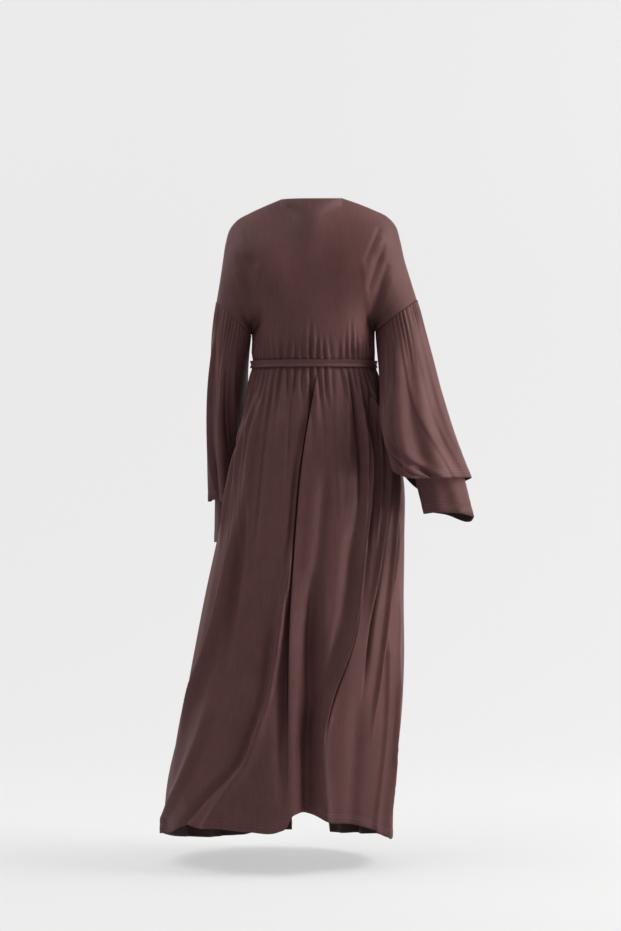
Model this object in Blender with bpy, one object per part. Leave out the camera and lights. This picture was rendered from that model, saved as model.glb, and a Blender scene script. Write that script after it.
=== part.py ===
"""Open-front jersey abaya with gathered bell sleeves, straight under-sleeves and a narrow belt.

The garment's front faces -Y, its back +Y, and the wearer's left is +X. Z is zero at the base of
the neck, where the garment is held. Tables give drops below that level, in metres.
Each piece of cloth is a middle surface worked out from sections and folds, given a wall.
"""

import math
from collections import namedtuple

import bmesh
import bpy
import numpy as np

# Cloth and seams
WALL = 0.002
SEAM_GAP = 0.0003
UNDERARM_STEP = 0.0026

# Heights of the seams
WAIST_DROP = 0.384
SEAM_HALF_GAP = SEAM_GAP / 2

# Gathers
WAIST_GATHERS = 52
WAIST_GATHER_AT_SEAM = 0.0014
WAIST_GATHER_OPEN = 0.0034
SLEEVE_GATHERS = 24
SLEEVE_GATHER_AT_SEAM = 0.0012
SLEEVE_GATHER_OPEN = 0.0022

# Bodice
NECK_HALF = 4 / 13
UNDERARM_PART = 0.72
NECK_BACK = (0.0, 0.056, -0.004)
NECK_FRONT = (-0.002, -0.078, -0.058)
FRONT_EDGE_GAP = 0.002
BACK_FULLNESS = 0.070
FRONT_FULLNESS = 0.078

# Belt
BELT_TALL = 0.016
BELT_OUT = 0.0054
BELT_FLARE = 0.0022
BELT_LAP_STEP = 0.0026
BELT_START_DEG = 186.0
BELT_TURN_DEG = 378.0

# Front opening of the skirt
OPENING_SWING_DEG = 17.0
OPENING_HALF_DEG = 9.5

# How finely each piece is divided
SKIRT_BACK_COLUMNS = 52
SKIRT_FRONT_COLUMNS = 26
SKIRT_ROWS = 18
SLEEVE_COLUMNS = 48
UNDER_SLEEVE_COLUMNS = 20
BELT_COLUMNS = 46

ShoulderPoint = namedtuple("ShoulderPoint", "out back up")
SHOULDER_RIGHT = (
    ShoulderPoint(0.072, 0.000, 0.002),
    ShoulderPoint(0.110, 0.001, -0.011),
    ShoulderPoint(0.146, 0.002, -0.026),
    ShoulderPoint(0.178, 0.002, -0.042),
    ShoulderPoint(0.197, 0.002, -0.063),
    ShoulderPoint(0.207, 0.002, -0.095),
    ShoulderPoint(0.217, 0.002, -0.140),
    ShoulderPoint(0.231, 0.003, -0.187),
    ShoulderPoint(0.246, 0.004, -0.235),
)
SHOULDER_LEFT = (
    ShoulderPoint(0.070, 0.000, -0.002),
    ShoulderPoint(0.108, 0.000, -0.018),
    ShoulderPoint(0.142, 0.000, -0.034),
    ShoulderPoint(0.170, -0.001, -0.050),
    ShoulderPoint(0.187, -0.002, -0.071),
    ShoulderPoint(0.196, -0.003, -0.101),
    ShoulderPoint(0.203, -0.004, -0.145),
    ShoulderPoint(0.210, -0.005, -0.193),
    ShoulderPoint(0.218, -0.006, -0.240),
)

# Sections of the skirt, from the waist seam down
SkirtRing = namedtuple("SkirtRing", "drop middle half_wide back front")
SKIRT_RINGS = (
    SkirtRing(0.384, -0.008, 0.140, 0.098, 0.106),
    SkirtRing(0.470, -0.011, 0.161, 0.120, 0.122),
    SkirtRing(0.560, -0.013, 0.183, 0.138, 0.132),
    SkirtRing(0.653, -0.013, 0.202, 0.152, 0.142),
    SkirtRing(0.792, -0.001, 0.216, 0.170, 0.160),
    SkirtRing(0.931, 0.015, 0.230, 0.186, 0.178),
    SkirtRing(1.070, 0.029, 0.244, 0.200, 0.196),
    SkirtRing(1.210, 0.045, 0.254, 0.212, 0.212),
    SkirtRing(1.349, 0.068, 0.262, 0.222, 0.228),
    SkirtRing(1.500, 0.076, 0.267, 0.230, 0.242),
)

# The hem all round, from the left side over the back to the right side and the front
HemPoint = namedtuple("HemPoint", "around drop")
HEM = (
    HemPoint(-180, 1.496),
    HemPoint(-150, 1.498),
    HemPoint(-120, 1.490),
    HemPoint(-90, 1.479),
    HemPoint(-68, 1.470),
    HemPoint(-57, 1.450),
    HemPoint(-44, 1.431),
    HemPoint(-34, 1.423),
    HemPoint(-28, 1.421),
    HemPoint(-24, 1.416),
    HemPoint(-20, 1.405),
    HemPoint(-16, 1.400),
    HemPoint(-9, 1.399),
    HemPoint(-7, 1.403),
    HemPoint(-4, 1.429),
    HemPoint(-1, 1.436),
    HemPoint(14, 1.438),
    HemPoint(33, 1.434),
    HemPoint(44, 1.436),
    HemPoint(52, 1.432),
    HemPoint(64, 1.452),
    HemPoint(90, 1.471),
    HemPoint(120, 1.496),
    HemPoint(150, 1.508),
    HemPoint(180, 1.497),
    HemPoint(210, 1.498),
)

# Folds of the skirt. The six x values are the fold's path at the drops in FOLD_DROPS; a raise
# below zero is a trough.
FOLD_DROPS = (0.40, 0.60, 0.80, 1.00, 1.20, 1.43)
BOW_DROP = 1.29
BOW_HALF = 0.05
Fold = namedtuple("Fold", "name x1 x2 x3 x4 x5 x6 start end lift half bow", defaults=(0.0,))
BACK_FOLDS = (
    Fold("side ridge a", 0.124, 0.172, 0.208, 0.226, 0.24, 0.25, 0.42, 0.84, 0.012, 0.010),
    Fold("side ridge b", 0.104, 0.160, 0.184, 0.200, 0.22, 0.23, 0.42, 0.84, 0.012, 0.009),
    Fold("side ridge c", 0.100, 0.136, 0.158, 0.170, 0.18, 0.19, 0.42, 0.82, 0.009, 0.009),
    Fold("left plane edge", 0.120, 0.150, 0.172, 0.217, 0.285, 0.33, 0.68, 1.26, 0.020, 0.015),
    Fold("left plane trough", 0.110, 0.140, 0.158, 0.184, 0.20, 0.22, 0.66, 1.10, -0.013, 0.013),
    Fold("broad left ridge", 0.090, 0.120, 0.160, 0.205, 0.244, 0.335, 1.08, 1.60, 0.009, 0.022),
    Fold("long left trough", 0.040, 0.048, 0.062, 0.0865, 0.124, 0.290, 0.92, 1.60, -0.012, 0.014, -0.015),
    Fold("long left ridge", 0.020, 0.027, 0.043, 0.068, 0.112, 0.236, 0.50, 1.60, 0.013, 0.011, -0.008),
    Fold("main trough", -0.002, 0.019, 0.037, 0.055, 0.066, 0.076, 0.42, 1.40, -0.024, 0.013),
    Fold("soft trough a", -0.040, -0.036, -0.018, 0.000, 0.010, 0.014, 0.58, 1.16, -0.007, 0.014),
    Fold("soft trough b", -0.080, -0.086, -0.089, -0.062, -0.030, -0.02, 0.72, 1.16, -0.007, 0.014),
    Fold("deep trough", -0.020, -0.010, -0.004, -0.002, 0.000, 0.000, 0.90, 1.60, -0.042, 0.025),
    Fold("long right ridge", -0.122, -0.136, -0.122, -0.094, -0.040, -0.036, 0.50, 1.60, 0.016, 0.012),
    Fold("short ridge a", -0.088, -0.089, -0.090, -0.09, -0.09, -0.09, 0.41, 0.66, 0.007, 0.009),
    Fold("short ridge b", -0.108, -0.126, -0.130, -0.13, -0.13, -0.13, 0.41, 0.68, 0.008, 0.008),
    Fold("short ridge c", -0.132, -0.150, -0.150, -0.15, -0.15, -0.15, 0.41, 0.66, 0.007, 0.008),
    Fold("side ridge d", -0.140, -0.170, -0.162, -0.127, -0.11, -0.10, 0.48, 1.06, 0.011, 0.010),
    Fold("side trough", -0.146, -0.180, -0.174, -0.148, -0.125, -0.11, 0.60, 1.22, -0.011, 0.011),
    Fold("side ridge e", -0.146, -0.186, -0.190, -0.169, -0.147, -0.13, 0.60, 1.26, 0.011, 0.011),
    Fold("side ridge f", -0.136, -0.182, -0.203, -0.182, -0.176, -0.147, 0.66, 1.60, 0.012, 0.013),
    Fold("hem ridge right", -0.150, -0.19, -0.21, -0.20, -0.194, -0.172, 1.02, 1.60, 0.012, 0.013),
    Fold("hem trough right", -0.10, -0.10, -0.11, -0.11, -0.105, -0.095, 1.10, 1.60, -0.010, 0.020),
)
FRONT_FOLDS = (
    Fold("front ridge a", 0.110, 0.150, 0.176, 0.205, 0.240, 0.280, 0.74, 1.60, 0.012, 0.014),
    Fold("front trough b", 0.090, 0.122, 0.146, 0.172, 0.205, 0.245, 0.46, 1.60, -0.012, 0.014),
    Fold("front ridge c", 0.066, 0.090, 0.110, 0.136, 0.166, 0.204, 0.50, 1.60, 0.014, 0.013),
    Fold("front trough d", 0.040, 0.054, 0.076, 0.102, 0.130, 0.162, 0.62, 1.60, -0.016, 0.015),
    Fold("front ridge e", 0.020, 0.030, 0.048, 0.068, 0.090, 0.116, 0.46, 1.60, 0.012, 0.013),
    Fold("front trough f", -0.046, -0.056, -0.062, -0.066, -0.070, -0.082, 0.46, 1.60, -0.013, 0.014),
    Fold("front ridge g", -0.070, -0.084, -0.090, -0.094, -0.098, -0.104, 0.52, 1.60, 0.014, 0.013),
    Fold("front trough h", -0.092, -0.114, -0.122, -0.124, -0.126, -0.128, 0.64, 1.60, -0.013, 0.014),
    Fold("front ridge i", -0.112, -0.144, -0.156, -0.156, -0.154, -0.150, 0.43, 1.60, 0.011, 0.013),
    Fold("front trough j", -0.130, -0.170, -0.186, -0.184, -0.178, -0.172, 0.60, 1.60, -0.009, 0.012),
)

# Columns of the skirt back that run along a fold, counted from the right side seam
Guide = namedtuple("Guide", "fold column")
SKIRT_GUIDES = (
    Guide("side ridge f", 8),
    Guide("long right ridge", 17),
    Guide("deep trough", 25),
    Guide("long left ridge", 31),
    Guide("left plane edge", 44),
)

# Sections of the sleeves. Each ring is an ellipse between its outermost and innermost points;
# skew moves x along with y, where the sleeve lies against the skirt.
SleeveRing = namedtuple("SleeveRing", "along outer outer_drop inner inner_drop middle_y half_deep skew")
SLEEVE_RIGHT = (
    SleeveRing(0.00, 0.246, 0.235, 0.151, 0.308, 0.004, 0.064, 0.00),
    SleeveRing(0.10, 0.258, 0.282, 0.153, 0.338, 0.014, 0.066, 0.00),
    SleeveRing(0.32, 0.282, 0.378, 0.158, 0.408, 0.048, 0.070, -0.06),
    SleeveRing(0.55, 0.306, 0.470, 0.160, 0.480, 0.088, 0.074, -0.18),
    SleeveRing(0.78, 0.333, 0.562, 0.166, 0.552, 0.116, 0.076, -0.26),
    SleeveRing(1.00, 0.363, 0.642, 0.182, 0.622, 0.128, 0.077, -0.26),
)
SLEEVE_LEFT = (
    SleeveRing(0.00, 0.218, 0.240, 0.138, 0.315, -0.006, 0.064, 0.00),
    SleeveRing(0.10, 0.225, 0.290, 0.142, 0.348, -0.020, 0.068, 0.03),
    SleeveRing(0.32, 0.2335, 0.392, 0.148, 0.424, -0.058, 0.082, 0.10),
    SleeveRing(0.55, 0.2365, 0.496, 0.147, 0.512, -0.104, 0.094, 0.16),
    SleeveRing(0.78, 0.237, 0.598, 0.140, 0.602, -0.150, 0.100, 0.20),
    SleeveRing(1.00, 0.2345, 0.700, 0.136, 0.698, -0.192, 0.104, 0.20),
)
UNDER_SLEEVE_RIGHT = (
    SleeveRing(0.00, 0.246, 0.235, 0.151, 0.308, 0.004, 0.064, 0.00),
    SleeveRing(0.12, 0.248, 0.288, 0.166, 0.336, 0.014, 0.056, 0.00),
    SleeveRing(0.35, 0.280, 0.400, 0.180, 0.420, 0.056, 0.054, -0.06),
    SleeveRing(0.75, 0.344, 0.610, 0.222, 0.600, 0.120, 0.050, -0.12),
    SleeveRing(1.00, 0.373, 0.736, 0.253, 0.728, 0.132, 0.048, -0.12),
)
UNDER_SLEEVE_LEFT = (
    SleeveRing(0.00, 0.218, 0.240, 0.138, 0.315, -0.006, 0.064, 0.00),
    SleeveRing(0.12, 0.213, 0.292, 0.150, 0.340, -0.018, 0.056, 0.02),
    SleeveRing(0.35, 0.220, 0.420, 0.158, 0.436, -0.070, 0.060, 0.09),
    SleeveRing(0.75, 0.2255, 0.650, 0.150, 0.648, -0.172, 0.068, 0.18),
    SleeveRing(1.00, 0.229, 0.800, 0.146, 0.794, -0.220, 0.070, 0.18),
)

# Folds along the sleeves: the angle goes from the outside over the back
SleeveFold = namedtuple("SleeveFold", "name top low start end lift half_deg")
SLEEVE_FOLDS_RIGHT = (
    SleeveFold("outer ridge", 14, 20, 0.10, 1.2, 0.005, 13),
    SleeveFold("outer trough", 38, 44, 0.10, 1.2, -0.005, 13),
    SleeveFold("back ridge a", 62, 62, 0.05, 1.2, 0.005, 12),
    SleeveFold("back trough", 84, 84, 0.10, 1.2, -0.006, 12),
    SleeveFold("back ridge b", 104, 104, 0.05, 1.2, 0.009, 11),
    SleeveFold("inner trough", 126, 122, 0.20, 1.2, -0.007, 10),
    SleeveFold("inner ridge", 146, 138, 0.30, 1.2, 0.006, 8),
    SleeveFold("front ridge a", 215, 220, 0.15, 1.2, 0.006, 15),
    SleeveFold("front trough a", 245, 248, 0.15, 1.2, -0.006, 14),
    SleeveFold("front ridge b", 275, 278, 0.10, 1.2, 0.006, 14),
    SleeveFold("front trough b", 305, 306, 0.15, 1.2, -0.006, 14),
)
SLEEVE_FOLDS_LEFT = (
    SleeveFold("outer trough", 10, 12, 0.10, 1.2, -0.003, 12),
    SleeveFold("outer ridge", 28, 40, 0.10, 1.2, 0.005, 11),
    SleeveFold("back trough", 50, 68, 0.10, 1.2, -0.010, 10),
    SleeveFold("back ridge", 76, 96, 0.10, 1.2, 0.007, 12),
    SleeveFold("back trough b", 104, 124, 0.20, 1.2, -0.005, 12),
    SleeveFold("front ridge a", 216, 222, 0.20, 1.2, 0.006, 15),
    SleeveFold("front trough a", 244, 250, 0.15, 1.2, -0.007, 14),
    SleeveFold("front ridge b", 276, 280, 0.10, 1.2, 0.008, 14),
    SleeveFold("front trough b", 306, 312, 0.15, 1.2, -0.006, 14),
    SleeveFold("front ridge c", 332, 340, 0.15, 1.2, 0.004, 13),
)

# How far the over-sleeve's hem hangs below its last ring, by the angle from the outside
SleeveHem = namedtuple("SleeveHem", "around right left")
SLEEVE_HEM = (
    SleeveHem(0, 0.000, 0.000),
    SleeveHem(30, 0.004, 0.004),
    SleeveHem(60, 0.008, -0.003),
    SleeveHem(90, 0.014, 0.004),
    SleeveHem(118, 0.018, 0.006),
    SleeveHem(140, 0.006, 0.000),
    SleeveHem(160, -0.017, -0.001),
    SleeveHem(182, -0.028, 0.003),
    SleeveHem(200, -0.016, 0.002),
    SleeveHem(218, 0.012, -0.004),
    SleeveHem(240, 0.044, 0.001),
    SleeveHem(262, 0.048, 0.007),
    SleeveHem(290, 0.034, 0.009),
    SleeveHem(325, 0.012, 0.002),
    SleeveHem(360, 0.000, 0.000),
)
# The same for the under-sleeve
UNDER_HEM = (
    SleeveHem(0, 0.000, 0.000),
    SleeveHem(30, -0.004, 0.002),
    SleeveHem(60, -0.008, 0.000),
    SleeveHem(90, -0.008, -0.003),
    SleeveHem(118, -0.006, 0.001),
    SleeveHem(150, -0.001, 0.003),
    SleeveHem(180, -0.002, 0.000),
    SleeveHem(210, -0.004, -0.004),
    SleeveHem(240, -0.003, -0.002),
    SleeveHem(265, 0.000, 0.003),
    SleeveHem(290, 0.008, 0.005),
    SleeveHem(315, 0.012, 0.002),
    SleeveHem(340, 0.008, 0.000),
    SleeveHem(360, 0.000, 0.000),
)

# Drag folds of the bodice, from near the underarm towards the shoulder and centre
DragFold = namedtuple("DragFold", "name x1 drop1 x2 drop2 lift half")
BODICE_DRAGS = (
    DragFold("right armhole trough", -0.160, 0.150, -0.150, 0.285, -0.009, 0.021),
    DragFold("left armhole trough", 0.142, 0.160, 0.138, 0.290, -0.009, 0.021),
)


def unit(vectors):
    """The same directions, each of length one."""
    lengths = np.linalg.norm(vectors, axis=-1, keepdims=True)
    return vectors / np.maximum(lengths, 1e-12)


def ease(at, start, end):
    """Zero before start, one after end, smooth between."""
    part = np.clip((at - start) / (end - start), 0.0, 1.0)
    return part * part * (3.0 - 2.0 * part)


def through(at, places, values):
    """A smooth curve through the values given at rising places."""
    places = np.asarray(places, float)
    values = np.asarray(values, float)
    slopes = np.gradient(values, places, axis=0)
    index = np.clip(np.searchsorted(places, at) - 1, 0, len(places) - 2)
    span = places[index + 1] - places[index]
    part = np.clip((at - places[index]) / span, 0.0, 1.0)
    if values.ndim == 2:
        span = span[..., None]
        part = part[..., None]
    near = (1 + 2 * part) * (1 - part) ** 2 * values[index]
    far = part * part * (3 - 2 * part) * values[index + 1]
    leave = part * (1 - part) ** 2 * span * slopes[index]
    arrive = part * part * (part - 1) * span * slopes[index + 1]
    return near + far + leave + arrive


def bump(distance, half):
    """The cross-section of a soft ridge of height one."""
    return np.exp(-((distance / half) ** 2))


# Skirt


def skirt_section(drop):
    """Middle, half width and the two half depths at a drop."""
    drops = [ring.drop for ring in SKIRT_RINGS]
    sizes = [(ring.middle, ring.half_wide, ring.back, ring.front) for ring in SKIRT_RINGS]
    section = through(drop, drops, sizes)
    return section[..., 0], section[..., 1], section[..., 2], section[..., 3]


def hem_drop(around):
    """Drop of the hem at an angle from the back, in degrees."""
    return through(around, [point.around for point in HEM], [point.drop for point in HEM])


def fold_lift(around, drop, folds, facing):
    """Sum of the folds on the back (facing 1) or the front (facing -1) of the skirt."""
    middle, half_wide, back, front = skirt_section(drop)
    deep = np.where(facing > 0, back, front)
    angle = np.radians(around)
    total = np.zeros(np.shape(around))
    for fold in folds:
        path = through(drop, FOLD_DROPS, (fold.x1, fold.x2, fold.x3, fold.x4, fold.x5, fold.x6))
        path = path + fold.bow * bump(drop - BOW_DROP, BOW_HALF)
        across = np.clip((path - middle) / half_wide, -0.999, 0.999)
        centre = np.arcsin(across)
        if facing < 0:
            centre = np.where(angle >= 0, math.pi - centre, -math.pi - centre)
        speed = np.sqrt((half_wide * np.cos(centre)) ** 2 + (deep * np.sin(centre)) ** 2)
        offset = angle - centre
        if facing < 0:
            offset = (offset + math.pi) % (2 * math.pi) - math.pi
        growing = ease(drop, fold.start, fold.start + 0.14)
        fading = 1 - ease(drop, fold.end - 0.16, fold.end)
        total = total + fold.lift * growing * fading * bump(offset * speed, fold.half)
    return total


def uneven(around):
    """Varies the depth of the gathers round the garment."""
    angle = np.radians(around)
    return 1.0 + 0.22 * np.sin(5 * angle + 0.6) + 0.16 * np.sin(11 * angle + 2.1)


def waist_gather(around, away, fade_start, fade_end):
    """Ridges and valleys of the gathering, by the distance from the waist seam."""
    angle = np.radians(around)
    longer = 1.0 + 0.45 * np.sin(9 * angle + 1.3) + 0.35 * np.sin(17 * angle + 0.4)
    wave = np.cos(angle * WAIST_GATHERS)
    size = WAIST_GATHER_AT_SEAM + (WAIST_GATHER_OPEN - WAIST_GATHER_AT_SEAM) * ease(away, 0.008, 0.03)
    return wave * size * uneven(around) * (1 - ease(away, fade_start, fade_end * longer + 0.02))


def skirt(around, down):
    """Middle surface of the skirt: around is in degrees from the back, down from 0 to 1."""
    around, down = np.broadcast_arrays(np.asarray(around, float), np.asarray(down, float))
    drop = WAIST_DROP + SEAM_HALF_GAP + down * (hem_drop(around) - WAIST_DROP - SEAM_HALF_GAP)
    middle, half_wide, back, front = skirt_section(drop)
    angle = np.radians(around)
    sine, cosine = np.sin(angle), np.cos(angle)
    deep = np.where(cosine > 0, back, front)
    out = unit(np.stack([sine / half_wide, cosine / deep], axis=-1))
    lift = waist_gather(around, drop - WAIST_DROP, 0.05, 0.14)
    lift = lift + fold_lift(around, drop, BACK_FOLDS, 1) * ease(cosine, -0.15, 0.15)
    lift = lift + fold_lift(around, drop, FRONT_FOLDS, -1) * ease(-cosine, -0.15, 0.15)
    x = middle + half_wide * sine + out[..., 0] * lift
    y = deep * cosine + out[..., 1] * lift
    return np.stack([x, y, -drop], axis=-1)


def fold_angle(name, drop):
    """Angle round the back at which a named fold runs, in degrees."""
    fold = next(fold for fold in BACK_FOLDS if fold.name == name)
    path = through(drop, FOLD_DROPS, (fold.x1, fold.x2, fold.x3, fold.x4, fold.x5, fold.x6))
    path = path + fold.bow * bump(drop - BOW_DROP, BOW_HALF)
    middle, half_wide, back, front = skirt_section(drop)
    return float(np.degrees(np.arcsin(np.clip((path - middle) / half_wide, -0.99, 0.99))))


def back_columns(down):
    """Angles of the columns of the skirt back: even at the waist, then along the main folds."""
    even = np.linspace(-90.0, 90.0, SKIRT_BACK_COLUMNS + 1)
    drop = np.array(WAIST_DROP + down * (1.44 - WAIST_DROP))
    marks = [0] + [guide.column for guide in SKIRT_GUIDES] + [SKIRT_BACK_COLUMNS]
    angles = [-90.0] + [fold_angle(guide.fold, drop) for guide in SKIRT_GUIDES] + [90.0]
    led = np.interp(np.arange(SKIRT_BACK_COLUMNS + 1), marks, angles)
    return even + (led - even) * float(ease(drop, 0.50, 0.68))


def front_columns(side):
    """Columns of a skirt front: even between its opening edge and its side seam."""

    def columns(down):
        edge = opening_edge(side, down)
        if side > 0:
            return np.linspace(90.0, edge, SKIRT_FRONT_COLUMNS + 1)
        return np.linspace(edge, -90.0, SKIRT_FRONT_COLUMNS + 1)

    return columns


def opening_edge(side, down):
    """Angle of a front edge of the skirt, side 1 for the wearer's left."""
    gap = math.degrees(FRONT_EDGE_GAP / 0.14)
    swing = OPENING_SWING_DEG * down**1.4
    half = gap + OPENING_HALF_DEG * down**1.6
    if side > 0:
        return 180.0 + swing - half
    return -180.0 + swing + half


# Sleeves


def ring_parts(rings, side, along):
    """Centre, outward half axis and back half axis of the sleeve ring at a place along it."""
    places = [ring.along for ring in rings]
    sizes = [ring[1:] for ring in rings]
    size = through(along, places, sizes)
    outer_x, inner_x = side * size[..., 0], side * size[..., 2]
    outer_z, inner_z = -size[..., 1], -size[..., 3]
    zero = np.zeros(np.shape(along))
    centre = np.stack([(outer_x + inner_x) / 2, size[..., 4], (outer_z + inner_z) / 2], axis=-1)
    outward = np.stack([(outer_x - inner_x) / 2, zero, (outer_z - inner_z) / 2], axis=-1)
    backward = np.stack([size[..., 6] * size[..., 5] * side, size[..., 5], zero], axis=-1)
    return centre, outward, backward


def ring_point(rings, side, around, along):
    """Point on the plain sleeve and the direction straight out from its ring."""
    centre, outward, backward = ring_parts(rings, side, along)
    angle = np.radians(around)[..., None]
    point = centre + np.cos(angle) * outward + np.sin(angle) * backward
    wide = np.linalg.norm(outward, axis=-1, keepdims=True)
    deep = np.linalg.norm(backward, axis=-1, keepdims=True)
    out = unit(np.cos(angle) * outward / wide**2 + np.sin(angle) * backward / deep**2)
    return point, out


def sleeve_lift(folds, around, along):
    """Sum of the long folds of a sleeve."""
    total = np.zeros(np.shape(around))
    for fold in folds:
        centre = fold.top + (fold.low - fold.top) * along
        offset = (around - centre + 180.0) % 360.0 - 180.0
        growing = ease(along, fold.start, fold.start + 0.30)
        total = total + fold.lift * growing * (0.5 + 0.5 * along) * bump(offset, fold.half_deg)
    return total


def sleeve(side, around, along):
    """Middle surface of an over-sleeve."""
    around, along = np.broadcast_arrays(np.asarray(around, float), np.asarray(along, float))
    rings = SLEEVE_RIGHT if side < 0 else SLEEVE_LEFT
    folds = SLEEVE_FOLDS_RIGHT if side < 0 else SLEEVE_FOLDS_LEFT
    point, out = ring_point(rings, side, around, along)
    angle = np.radians(around)
    near_body = 0.5 - 0.5 * np.cos(angle)
    size = SLEEVE_GATHER_AT_SEAM + (SLEEVE_GATHER_OPEN - SLEEVE_GATHER_AT_SEAM) * ease(along, 0.02, 0.10)
    longer = 0.42 + 0.14 * np.sin(5 * angle + 1.0) + 0.08 * np.sin(9 * angle)
    size = size * (1 - 0.75 * near_body**2) * (1 - ease(along, 0.14, longer))
    lift = np.cos(angle * SLEEVE_GATHERS) * size + sleeve_lift(folds, around, along)
    hem = [row.right if side < 0 else row.left for row in SLEEVE_HEM]
    hang = through(around % 360.0, [row.around for row in SLEEVE_HEM], hem)
    point = point + out * lift[..., None]
    point[..., 2] -= hang * ease(along, 0.45, 1.0)
    return point


def under_sleeve(side, around, along):
    """Middle surface of an under-sleeve, set inside the over-sleeve at the armhole."""
    around, along = np.broadcast_arrays(np.asarray(around, float), np.asarray(along, float))
    rings = UNDER_SLEEVE_RIGHT if side < 0 else UNDER_SLEEVE_LEFT
    point, out = ring_point(rings, side, around, along)
    inset = -(SLEEVE_GATHER_AT_SEAM + WALL + SEAM_GAP + 0.0006)
    lift = inset + 0.0025 * np.sin(np.radians(3 * around + 20)) * ease(along, 0.3, 1.0)
    point = point + out * lift[..., None]
    hem = [row.right if side < 0 else row.left for row in UNDER_HEM]
    hang = through(around % 360.0, [row.around for row in UNDER_HEM], hem)
    point[..., 2] -= hang * ease(along, 0.6, 1.0)
    return point


# Bodice


def shoulder_line(side, part):
    """The shoulder seam, from the neck out and down the arm to the armhole."""
    table = np.array(SHOULDER_RIGHT if side < 0 else SHOULDER_LEFT)
    steps = np.linalg.norm(np.diff(table, axis=0), axis=1)
    places = np.concatenate([[0.0], np.cumsum(steps)]) / steps.sum()
    point = through(part, places, table)
    point[..., 0] *= side
    return point


def armhole(side, facing, around):
    """The armhole seam, from its top over the back (facing 1) or the front to the underarm."""
    rings = SLEEVE_RIGHT if side < 0 else SLEEVE_LEFT
    point, out = ring_point(rings, side, facing * around, np.zeros(np.shape(around)))
    return point, out


def underarm_share(around):
    """How far the seam has turned from the arm to the side of the body."""
    return ease(around, 95.0, 180.0)


def side_edge(side, facing, down):
    """Outer edge of a bodice piece: the armhole, then the side seam down to the waist."""
    around = np.clip(down / UNDERARM_PART, 0.0, 1.0) * 180.0
    point, out = armhole(side, facing, around)
    point = point.copy()
    point[..., 0] -= side * UNDERARM_STEP * underarm_share(around)
    middle, half_wide, back, front = skirt_section(np.full(np.shape(down), WAIST_DROP))
    low = np.stack([middle + side * half_wide, 0 * middle, 0 * middle - WAIST_DROP], axis=-1)
    start, _ = armhole(side, facing, np.full(np.shape(down), 180.0))
    start = start.copy()
    start[..., 0] -= side * UNDERARM_STEP
    part = np.clip((down - UNDERARM_PART) / (1 - UNDERARM_PART), 0.0, 1.0)[..., None]
    return np.where(part > 0, start + (low - start) * part, point)


def neckline(facing, across):
    """The neck edge: across goes from -1 at the wearer's right to 1 at the left."""
    side = np.where(across < 0, -1.0, 1.0)
    right = np.array(SHOULDER_RIGHT[0]) * (-1, 1, 1)
    left = np.array(SHOULDER_LEFT[0])
    centre = np.array(NECK_BACK if facing > 0 else NECK_FRONT)
    end = np.where((side < 0)[..., None], right, left)
    turn = np.radians(90.0 * np.abs(across))[..., None]
    sweep = np.sin(turn) * (end - centre)
    reach = (1 - np.cos(turn)) * (end - centre)
    blend = np.array([1.0, 0.0, 0.0]) * sweep + np.array([0.0, 1.0, 1.0]) * reach
    return centre + blend


def top_edge(facing, across):
    """Neckline and shoulder seam in one, from the right armhole to the left."""
    reach = np.abs(across)
    neck = neckline(facing, np.clip(across / NECK_HALF, -1.0, 1.0))
    part = np.clip((reach - NECK_HALF) / (1 - NECK_HALF), 0.0, 1.0)
    right = shoulder_line(-1, part)
    left = shoulder_line(1, part)
    arm = np.where((across < 0)[..., None], right, left)
    return np.where((reach < NECK_HALF)[..., None], neck, arm)


def waist_edge(facing, across):
    """The waist seam of the bodice."""
    angle = np.radians(90.0 * across)
    zero = np.zeros(np.shape(across))
    middle, half_wide, back, front = skirt_section(zero + WAIST_DROP)
    deep = back if facing > 0 else -front
    return np.stack([middle + half_wide * np.sin(angle), deep * np.cos(angle), zero - WAIST_DROP], axis=-1)


def smooth_top(facing, across):
    """The top edge as the cloth below it lies, without the corners at the neck."""
    places = np.array((-1.0, -0.78, -0.54, -NECK_HALF, 0.0, NECK_HALF, 0.54, 0.78, 1.0))
    return through(across, places, top_edge(facing, places))


def edge_blend(facing, across, down):
    """Straight blend of the top edge and the waist, rounding in fast below the neck."""
    settled = ease(down, 0.0, 0.22)[..., None]
    top = top_edge(facing, across) * (1 - settled) + smooth_top(facing, across) * settled
    waist = waist_edge(facing, across)
    point = (1 - down[..., None]) * top + down[..., None] * waist
    point[..., 1] = top[..., 1] * (1 - down) ** 4 + waist[..., 1] * down
    return point


def side_pull(side, facing, across, down):
    """How far a side edge draws the cloth, its underarm corner rounded off further in."""
    end = np.full(np.shape(across), float(side))
    share = ease(np.clip((1 + side * across) / 2, 0.0, 1.0), 0.30, 1.0)
    spread = 1.5 * (1 - share) * down * (1 - down)
    total = 0.0
    weights = 0.0
    for step in np.linspace(-1.0, 1.0, 9):
        weight = math.cos(step * 1.4)
        near = down + step * spread
        total = total + weight * (side_edge(side, facing, near) - edge_blend(facing, end, near))
        weights = weights + weight
    return share[..., None] ** 2 * total / weights


def bodice_plain(facing, across, down):
    """Bodice surface between its edges, without gathers or drag folds."""
    across, down = np.broadcast_arrays(np.asarray(across, float), np.asarray(down, float))
    point = edge_blend(facing, across, down)
    point = point + side_pull(-1, facing, across, down) + side_pull(1, facing, across, down)
    full = BACK_FULLNESS if facing > 0 else FRONT_FULLNESS
    rise = (1 - (1 - down) ** 6) * (1 - down**3)
    point[..., 1] += facing * full * rise * (1 - ease(np.abs(across), 0.30, 1.0))
    return point


def surface_out(form, across, down, turn):
    """Outward direction of a surface, from its slopes both ways."""
    step = 1e-3
    along_u = form(across + step, down) - form(across - step, down)
    along_v = form(across, down + step) - form(across, down - step)
    return unit(np.cross(along_u, along_v)) * turn


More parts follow.
